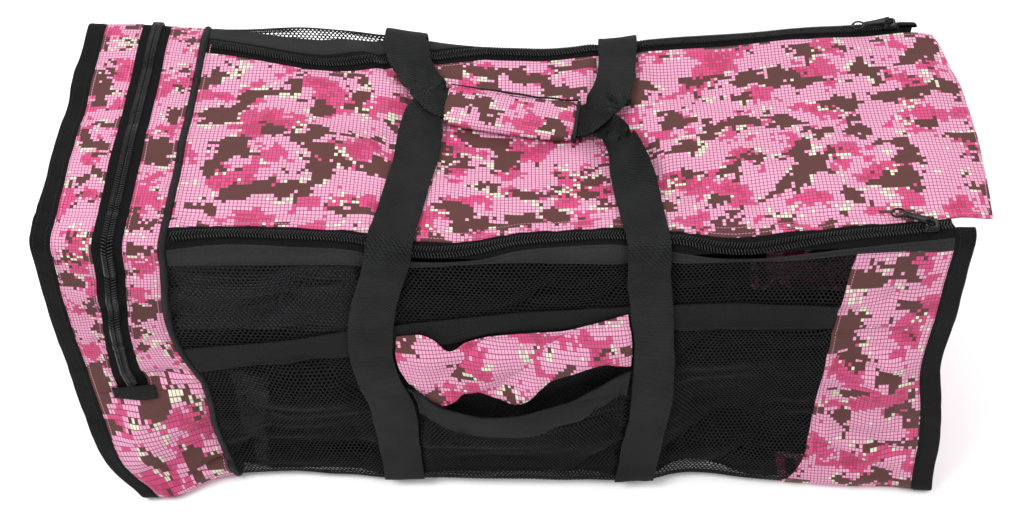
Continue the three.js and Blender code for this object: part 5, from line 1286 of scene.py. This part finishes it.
lid_u = np.linspace(main_from + 0.004, half_length + 0.009, 600)
lid_v = np.linspace(front_edge + 0.028, rear_edge - 0.03, 300)
stitch_rows("lid_stitches", [
    (lid_u, lid_edge(lid_u) + 0.0035, 0.0005), (lid_u, lid_edge(lid_u) + 0.0115, 0.0005),
    (lid_u, behind_lid(-0.004)(lid_u), 0.0005), (lid_to(lid_v) - 0.004, lid_v, 0.0005),
    (main_from + 0.004, lid_v, 0.0005)], thread_pink)
long_line = np.linspace(main_from, main_to - 0.002, 600)
stitch_rows("band_stitches", [
    (long_line, band_low(long_line) + 0.003, 0.0),
    (long_line, lid_edge(long_line) - tape_shown - 0.003, 0.0),
    (long_line, behind_lid(tape_shown + 0.003)(long_line), 0.0),
    (long_line, behind_lid(tape_shown + zip_band_width - 0.003)(long_line), 0.0)], thread_black)
mid_u = np.linspace(piping_at + 0.006, float(band_to(run_of(1.7))) - 0.004, 500)
over_mid = band_lift + band_thickness
stitch_rows("middle_band_stitches", [
    (mid_u, along_band(way * (half_band - 0.003))(mid_u), over_mid) for way in (-1, 1)] + [
    (mid_u, rear_middle + way * (half_band - 0.003), over_mid) for way in (-1, 1)], thread_black)
gusset_v = np.linspace(end_zip_low, end_zip_high, 700)
round_v = np.linspace(0, girth, 900)
stitch_rows("gusset_stitches", [
    (end_zip(gusset_v) - half_tape - 0.003, gusset_v, 0.0),
    (end_zip(gusset_v) + half_tape + 0.003, gusset_v, 0.0),
    (piping_at - 0.0075, round_v, 0.0), (gusset_from + 0.003, round_v, 0.0)], thread_pink)
stitch_rows("flange_stitches", [
    (-root - 0.0045, round_v, 0.0006), (-root - 0.0165, round_v, 0.0004),
    (root + 0.0045, np.linspace(rear_edge - 0.01 - girth, front_edge + 0.01, 800), 0.0006)], thread_black)
wall_v = np.linspace(front_foot - 0.02, front_edge - zip_band_width, 300)
stitch_rows("side_stitches", [
    (seam_front(wall_v) + 0.004, wall_v, 0.0), (seam_rear(girth - wall_v) + 0.004, girth - wall_v, 0.0)],
    thread_pink)
web_lines = []
for rows in (front_web_rows, rear_web_rows):
    path = web_path(rows)
    for way in (-1, 1):
        reach = way * (web_width / 2 - 0.004)
        heading = np.radians(path["heading"])
        low = path["lift"] * web_thickness + reach * np.sin(np.radians(path["roll"])) + web_thickness + 0.0006
        web_lines.append((path["at"] * half_length + reach * np.cos(heading),
                          path["v"] - reach * np.sin(heading), low))
stitch_rows("handle_stitches", web_lines, thread_black, 0.0040, 0.0030)

# The floor: a plain white sheet under the bag. A white surround and three large soft lamps, above it and
# to its sides, light it as in a studio.
floor_mesh = bpy.data.meshes.new("floor")
floor_mesh.from_pydata([(-8, -8, -0.0006), (8, -8, -0.0006), (8, 8, -0.0006), (-8, 8, -0.0006)], [],
                       [(0, 1, 2, 3)])
floor = bpy.data.objects.new("floor", floor_mesh)
scene.collection.objects.link(floor)
floor_paper, tree, shader = new_material("floor_paper", (0.92, 0.92, 0.92), 0.9)
paper = noise_of(tree, add_node(tree, "ShaderNodeTexCoord").outputs["Object"], 3, 2.0, 0.5)
tree.links.new(mixed(tree, paper, (0.915, 0.915, 0.915), (0.93, 0.93, 0.93)), shader.inputs["Base Color"])
floor_mesh.materials.append(floor_paper)
world = bpy.data.worlds.new("studio")
scene.world = world
world.use_nodes = True
world.node_tree.nodes["Background"].inputs[0].default_value = (1, 1, 1, 1)
world.node_tree.nodes["Background"].inputs[1].default_value = 0.80
lamps = (("key", (-1.5, -1.0, 2.6), 1.2, 70), ("fill", (1.9, -0.9, 2.2), 2.0, 26),
         ("back", (0.4, 2.0, 2.4), 2.0, 34))
for name, spot, size, power in lamps:
    light = bpy.data.lights.new(name, "AREA")
    light.energy, light.size = power, size
    lamp = bpy.data.objects.new(name, light)
    lamp.location = spot
    lamp.rotation_euler = (Vector((0, 0, 0.2)) - Vector(spot)).to_track_quat("-Z", "Y").to_euler()
    scene.collection.objects.link(lamp)
scene.view_settings.view_transform = "Standard"
